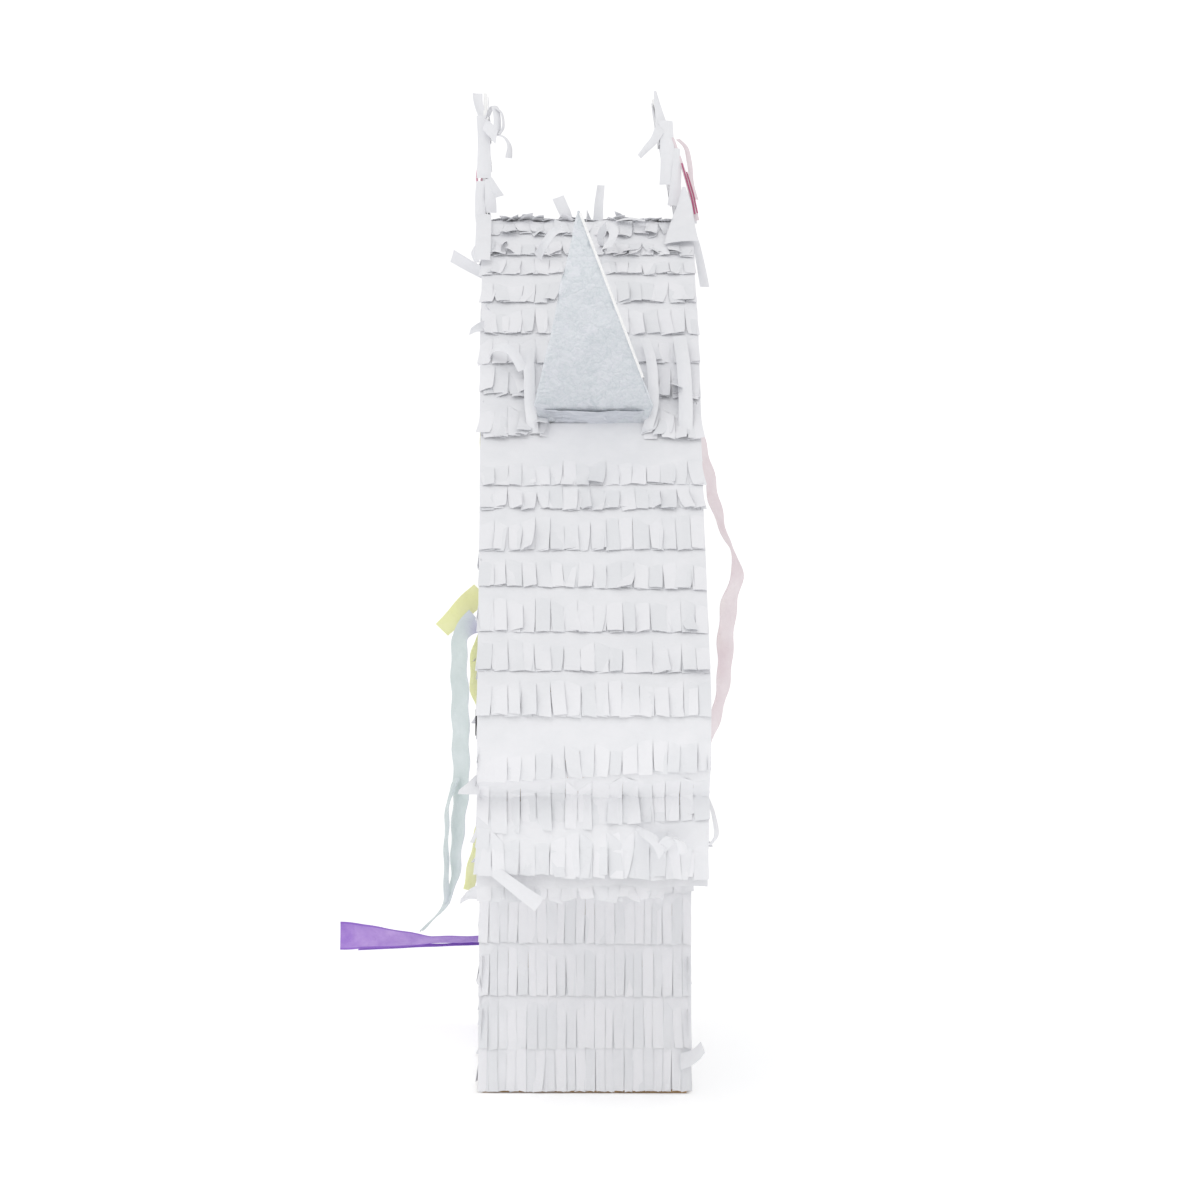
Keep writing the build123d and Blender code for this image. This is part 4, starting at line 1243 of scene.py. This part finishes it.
# %% Stray strips
# Name, the body it rides, points in millimetres, ways across and the width at its two ends
STRAYS = [
    ("stray_crown_a", "shell", [(-8.6, -29, 374.5), (-9.6, -30, 378), (-11.4, -30, 382), (-13, -30, 385.6)],
     [(1, 0, 0.3), (1, 0.1, 0.4)], 5.0, 5.4),
    ("stray_crown_b", "shell", [(4.2, -26, 373.5), (4.9, -26, 376), (5.3, -26, 383.6), (6.1, -26, 391.6)],
     [(1, 0.2, 0), (1, 0.3, 0)], 5.4, 3.4),
    ("stray_crown_c", "shell", [(-22, -57, 356), (-19.5, -62, 360.5), (-15.4, -64, 366), (-11.4, -66, 367.4)],
     [(0.7, 0, -0.6), (0.5, -0.2, -0.9)], 4.0, 3.0),
    ("stray_crown_d", "shell", [(4.4, -50, 371.5), (9, -58, 369.5), (10.8, -63, 365.6), (7.8, -64, 359.4)],
     [(0.7, 0.2, 0.6), (1, 0, 0.3)], 3.6, 5.0),
    ("stray_crown_e", "shell", [(13, -33, 374.8), (19, -37, 375.5), (25, -40, 374)],
     [(0.2, 1, 0.3), (0, 1, 0.2)], 4.0, 4.0),
    ("stray_side_a", "shell", [(-44.5, -34, 350.5), (-47, -34.5, 351.7), (-53.4, -35, 355.1), (-59.6, -35, 358.6)],
     [(0.1, -0.3, 1), (0.3, -0.2, 1)], 5.0, 5.6),
    ("stray_side_b", "shell", [(-44.5, -88, 323.4), (-47.5, -89, 322.6), (-50.6, -89, 320.8)],
     [(0, -0.2, 1), (0.3, -0.1, 1)], 4.5, 3.0),
    ("stray_muzzle_a", "shell", [(-44, -205, 137.4), (-48, -206, 135.7), (-52, -206, 134)],
     [(0, 0.3, 1), (0.3, 0.1, 1)], 9.0, 1.5),
    ("stray_muzzle_b", "shell", [(44.6, -190, 131.5), (47.4, -190, 125), (48.6, -190, 117), (46.1, -190, 113)],
     [(0.2, 0.9, 0.3), (0.5, 0.8, 0)], 5.0, 4.0),
    ("stray_chin_a", "shell", [(17, -205, 120), (19.9, -209, 118.4), (24, -210, 115.4), (26.6, -210, 111)],
     [(0.3, 0.2, 1), (0.5, 0.3, 0.8)], 2.4, 5.4),
    ("stray_chin_b", "shell", [(25.6, -209, 112), (29.6, -211, 116.6), (33.4, -210, 115.6), (34.8, -208, 111)],
     [(0.5, 0.3, -0.6), (1, 0.2, 0.2)], 5.2, 3.4),
    ("stray_chin_c", "shell", [(-40, -200, 104.5), (-33, -203, 99.6), (-26, -204, 94.4), (-20.5, -203, 90.5)],
     [(0.4, 0, 1), (0.6, 0.1, 0.9)], 4.4, 6.0),
    ("stray_jaw", "shell", [(-44.6, -150, 90), (-48.4, -150, 89), (-52, -150, 86)],
     [(0, 0.3, 1), (0.2, 0.2, 1)], 6.0, 2.0),
    ("stray_neck", "shell", [(40.5, -96.6, 13.6), (44, -98, 15), (47.4, -98.6, 17.4), (49.6, -98, 20)],
     [(0, 0.2, 1), (-0.4, 0.1, 1)], 7.0, 5.0),
    ("stray_brow_a", "shell", [(-25.8, -100, 313), (-25.6, -111, 304), (-25, -121, 288), (-23.6, -126, 276)],
     [(1, 0, 0), (1, 0.1, 0.1), (1, -0.2, 0.2)], 4.6, 4.6),
    ("stray_brow_b", "shell", [(-42, -97, 310), (-39, -104, 313), (-33, -107, 311.5), (-28, -111, 303)],
     [(0.3, 0, 1), (0.7, 0, 0.8), (1, 0.1, 0.3)], 4.0, 4.2),
    ("stray_brow_c", "shell", [(23, -95, 318), (25.4, -107, 308), (25.9, -119, 290), (22.8, -126, 276.5)],
     [(1, 0, 0), (1, 0.3, 0.1), (1, -0.3, 0.3)], 4.0, 5.0),
    ("stray_brow_d", "shell", [(38, -93, 319), (39, -105, 307), (39.4, -117, 291), (39, -124, 277)],
     [(1, 0, 0), (1, 0.1, 0.1), (1, -0.1, 0.2)], 5.6, 6.0),
    ("loose_tab_left", "shell", [(-45.8, -22, 377), (-45.7, -33, 376.4), (-45.7, -48.4, 365), (-46, -60.4, 354)],
     [(1, 0.1, 0), (1, -0.1, 0)], 6.4, 7.0),
    ("loose_flake_left", "shell", [(-46.6, -18, 369.5), (-48.4, -18.6, 366), (-50.4, -19, 362), (-48.6, -19, 357.5)],
     [(0.4, -0.6, 0.4), (0.8, -0.6, 0)], 3.4, 3.0),
    ("loose_strip_right", "shell", [(46.8, -18, 374.5), (49, -18.4, 367), (51.2, -18.4, 357), (53, -18, 347.5)],
     [(1, -0.3, 0), (1, 0.2, 0)], 2.6, 4.4),
    ("left_ear_tip", "left_ear", [(-46.2, -3, 423), (-48, -1.6, 428), (-49, -0.4, 432), (-49.3, 2, 436.4)],
     [(1, 0, 0), (1, 0.3, 0)], 3.6, 4.7),
    ("left_ear_edge_high", "left_ear", [(-47.4, -4, 425), (-46.4, -9.5, 416), (-46, -13.4, 407), (-46, -15.6, 395.4)],
     [(1, 0, 0), (1, 0.15, 0)], 4.6, 6.6),
    ("left_ear_edge_low", "left_ear", [(-47.2, -16, 394), (-47.6, -17.4, 388), (-47.6, -17.6, 381), (-47.2, -17.4, 375.4)],
     [(1, 0.1, 0), (1, -0.1, 0)], 4.4, 4.6),
    ("left_ear_edge_inner", "left_ear", [(-43.8, -15, 395), (-43.2, -17.6, 388), (-42.9, -17.6, 384), (-43, -16.6, 380)],
     [(1, 0.3, 0), (1, 0, 0)], 4.2, 5.6),
    ("left_ear_flap", "left_ear", [(-45.6, -12, 420), (-43, -14.6, 417), (-40.4, -15, 414)],
     [(0.4, 0, 1), (0.2, 0, 1)], 5.0, 6.4),
    ("left_ear_curl_a", "left_ear", [(-45, -9, 423), (-43.2, -14, 426.4), (-41.4, -15, 427.4), (-40.3, -15, 422),
      (-40.3, -14, 415.4)], [(0.6, 0.4, 0.6), (1, 0.5, 0), (1, 0.2, 0)], 3.6, 3.4),
    ("left_ear_curl_b", "left_ear", [(-41, -15, 427), (-38.3, -15, 424.4), (-37.5, -15, 418.6), (-39.4, -14, 415.4)],
     [(0.3, 0.9, 0.2), (0.4, 0.9, 0)], 3.0, 2.4),
    ("left_ear_curl_c", "left_ear", [(-40.6, -14, 415), (-37, -15, 413.8), (-34.6, -15, 410), (-35, -14, 404.8)],
     [(0.2, 0.8, 0.4), (0.7, 0.6, 0)], 1.6, 4.0),
    ("left_ear_point", "left_ear", [(-43.6, -15, 395.6), (-41.4, -17, 391), (-39.2, -17, 387)],
     [(1, 0, 0.3), (1, 0, 0.3)], 2.6, 5.0),
    ("right_ear_tip", "right_ear", [(31.2, 3.4, 438.2), (32.1, -1, 431), (33.4, -5, 424), (34.2, -7.8, 420)],
     [(1, 0.2, 0), (1, 0, 0)], 1.2, 6.4),
    ("right_ear_strip", "right_ear", [(34.4, -7.4, 421), (32.3, -11.6, 418), (30, -12.4, 413.6), (26.6, -12.4, 409.8),
      (23.5, -12, 406.3)], [(0.8, 0, -0.4), (0.7, 0, -0.7), (0.7, 0, -0.7)], 5.4, 2.2),
    ("right_ear_panel_a", "right_ear", [(35.6, -8.5, 423), (36, -12.4, 412), (36.3, -14.6, 402), (36, -15.4, 393.4)],
     [(1, 0.1, 0), (1, -0.05, 0)], 6.0, 7.0),
    ("right_ear_panel_b", "right_ear", [(40, -13, 410), (40.2, -15.4, 400), (39.6, -16, 391), (39, -16, 384)],
     [(1, 0, 0), (1, 0.2, 0)], 3.4, 6.0),
    ("right_ear_point", "shell", [(43.2, -19.6, 392), (43.5, -22, 384.5), (41.8, -36, 374.6), (40.8, -49, 364)],
     [(1, 0, 0.1), (1, 0, 0.1)], 1.4, 15.0),
    ("right_ear_skirt", "right_ear", [(45.6, -16.6, 382), (46.4, -17.4, 379), (47, -17.8, 375.8)],
     [(1, 0, 0), (1, 0, 0)], 4.6, 5.0),
]


def stray(name, body, points, ways, width, end_width, material=tissue_white):
    line = smooth_line([[c * MM for c in p] for p in points], steps=6)
    piece, _ = ribbon_mesh(name, line, turning(ways, len(line)), width * MM, material, cup=0.5 * MM,
                           ruffle=0.15 * MM, seed=name, taper=lambda t: 1 + (end_width / width - 1) * t)
    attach(piece, body)
    return piece


for name, body, points, ways, width, end_width in STRAYS:
    stray(name, body, points, ways, width, end_width)

# %% [markdown]
# A little of each ear's rose lining rolls round to the front edge, in deeper folds on the right
# ear, and a pale loop of it has come away there. The right roll is drawn in the paler pink tissue,
# as painted light, and its deep folds in darker crimson, as painted shade.

# %% Rolled lining
ROLLS = [
    ("left_ear_roll", "left_ear", [(-48.3, -13.8, 404), (-48.8, -14.6, 400), (-49.1, -15, 396), (-48.8, -15.4, 391)],
     [(1, -0.3, 0), (1, 0.2, 0)], 0.5, 1.0, tissue_rose, "tissue_rose"),
    # The right roll is rose lining drawn in the paler pink tissue: painted light on the roll.
    ("right_ear_roll", "right_ear", [(38.5, -11.4, 415), (43.3, -15.2, 400.3), (46.9, -17.4, 387.5), (49.2, -17.8, 377.2)],
     [(1, -0.2, 0.2), (1, 0.2, 0.2), (1, -0.2, 0.1)], 1.2, 2.4, tissue_pink, "tissue_rose"),
    # The fold and edge strips take the darker crimson: painted shade in the roll's deep folds.
    ("right_ear_roll_fold", "right_ear", [(42.4, -15.6, 403), (45, -17.6, 394), (47.2, -18.4, 386), (48.3, -18.4, 380)],
     [(1, 0.5, 0.2), (1, -0.5, 0.2)], 0.6, 0.7, rose_fold_painted_shade, "tissue_rose"),
    ("right_ear_roll_edge", "right_ear", [(44.6, -16.4, 399), (47.4, -17.8, 390), (49.6, -18, 380.5)],
     [(1, 0.4, 0.2), (1, -0.4, 0.2)], 0.5, 0.5, rose_fold_painted_shade, "tissue_rose"),
    ("right_ear_loop", "right_ear", [(41.6, 3, 416.4), (45.4, 3, 412.6), (46.9, 2, 405.3), (47.7, 2, 398),
      (48.8, 2, 393.4), (50.2, 2, 388.9)], [(0.8, 1, 0.3), (0.8, 0.7, 0.3), (0.8, 0.6, 0), (0.8, 1, 0)],
     3.0, 2.8, tissue_pink, "tissue_rose"),
]
for name, body, points, ways, width, end_width, material, slot in ROLLS:
    stray(name, body, points, ways, width, end_width, material)

# %% [markdown]
# ## Floor, light and camera
# The head stands on a pale floor that curves up behind it, in very soft even light, so its form
# shows by the faint shadow between strips. The camera looks level at the middle of the head from
# about 1.3 m in front of the neck and a touch to its left, straight at the narrow face.

# %% Floor
backdrop = primitive(bpy.ops.mesh.primitive_plane_add, "studio_floor", size=8.0, location=(0, 2.0, 0))
bpy.ops.object.mode_set(mode="EDIT")
select_where(backdrop, "EDGE", lambda e: all(v.co.y > 0.5 for v in e.verts))
bpy.ops.mesh.extrude_region_move(TRANSFORM_OT_translate={"value": (0, 0, 5.0)})
select_where(backdrop, "EDGE", lambda e: all(v.co.y > 0.5 and abs(v.co.z) < 0.1 for v in e.verts))
bpy.ops.mesh.bevel(offset=1.5, segments=16, affect="EDGES")
bpy.ops.object.mode_set(mode="OBJECT")
bpy.ops.object.transform_apply(location=True, rotation=True, scale=True)
bpy.ops.object.shade_smooth()
studio_paper, tree = new_material("studio_paper")
shader = add(tree, "ShaderNodeBsdfPrincipled",
             values={"Base Color": linear("#fbfbfb"), "Roughness": 0.9, "Specular IOR Level": 0.1,
                     "Emission Color": linear("#ffffff"), "Emission Strength": 0.22})
add(tree, "ShaderNodeOutputMaterial", links={"Surface": shader.outputs[0]})
backdrop.data.materials.append(studio_paper)

# %% Light
world = bpy.data.worlds.new("studio")
bpy.context.scene.world = world
world.use_nodes = True
world.node_tree.nodes["Background"].inputs["Color"].default_value = (1.0, 1.0, 1.0, 1.0)
world.node_tree.nodes["Background"].inputs["Strength"].default_value = 0.82


def softbox(name, location, target, size, power):
    data = bpy.data.lights.new(name, "AREA")
    data.shape = "DISK"
    data.size = size
    data.energy = power
    light = bpy.data.objects.new(name, data)
    bpy.context.collection.objects.link(light)
    light.location = location
    light.rotation_euler = (Vector(target) - Vector(location)).to_track_quat("-Z", "Y").to_euler()


softbox("key", (-0.5, -1.6, 2.0), (0, -0.05, 0.2), 1.8, 9)

# %% Camera
CAMERA_DISTANCE = 1.29  # from the front of the neck
CAMERA_HEIGHT = 0.214
CAMERA_ASIDE = -0.030
FRAME_WIDTH = 36.0
FOCAL_LENGTH = 93.42
neck_front = outline[0][0]
camera_data = bpy.data.cameras.new("camera")
camera_data.sensor_width = FRAME_WIDTH
camera_data.lens = FOCAL_LENGTH
camera_data.shift_y = -0.0042
camera = bpy.data.objects.new("camera", camera_data)
bpy.context.collection.objects.link(camera)
camera.location = (CAMERA_ASIDE, neck_front - CAMERA_DISTANCE, CAMERA_HEIGHT)
camera.rotation_euler = (math.radians(90), math.radians(-0.4), math.radians(-1.368))
bpy.context.scene.camera = camera
bpy.context.scene.view_settings.view_transform = "Standard"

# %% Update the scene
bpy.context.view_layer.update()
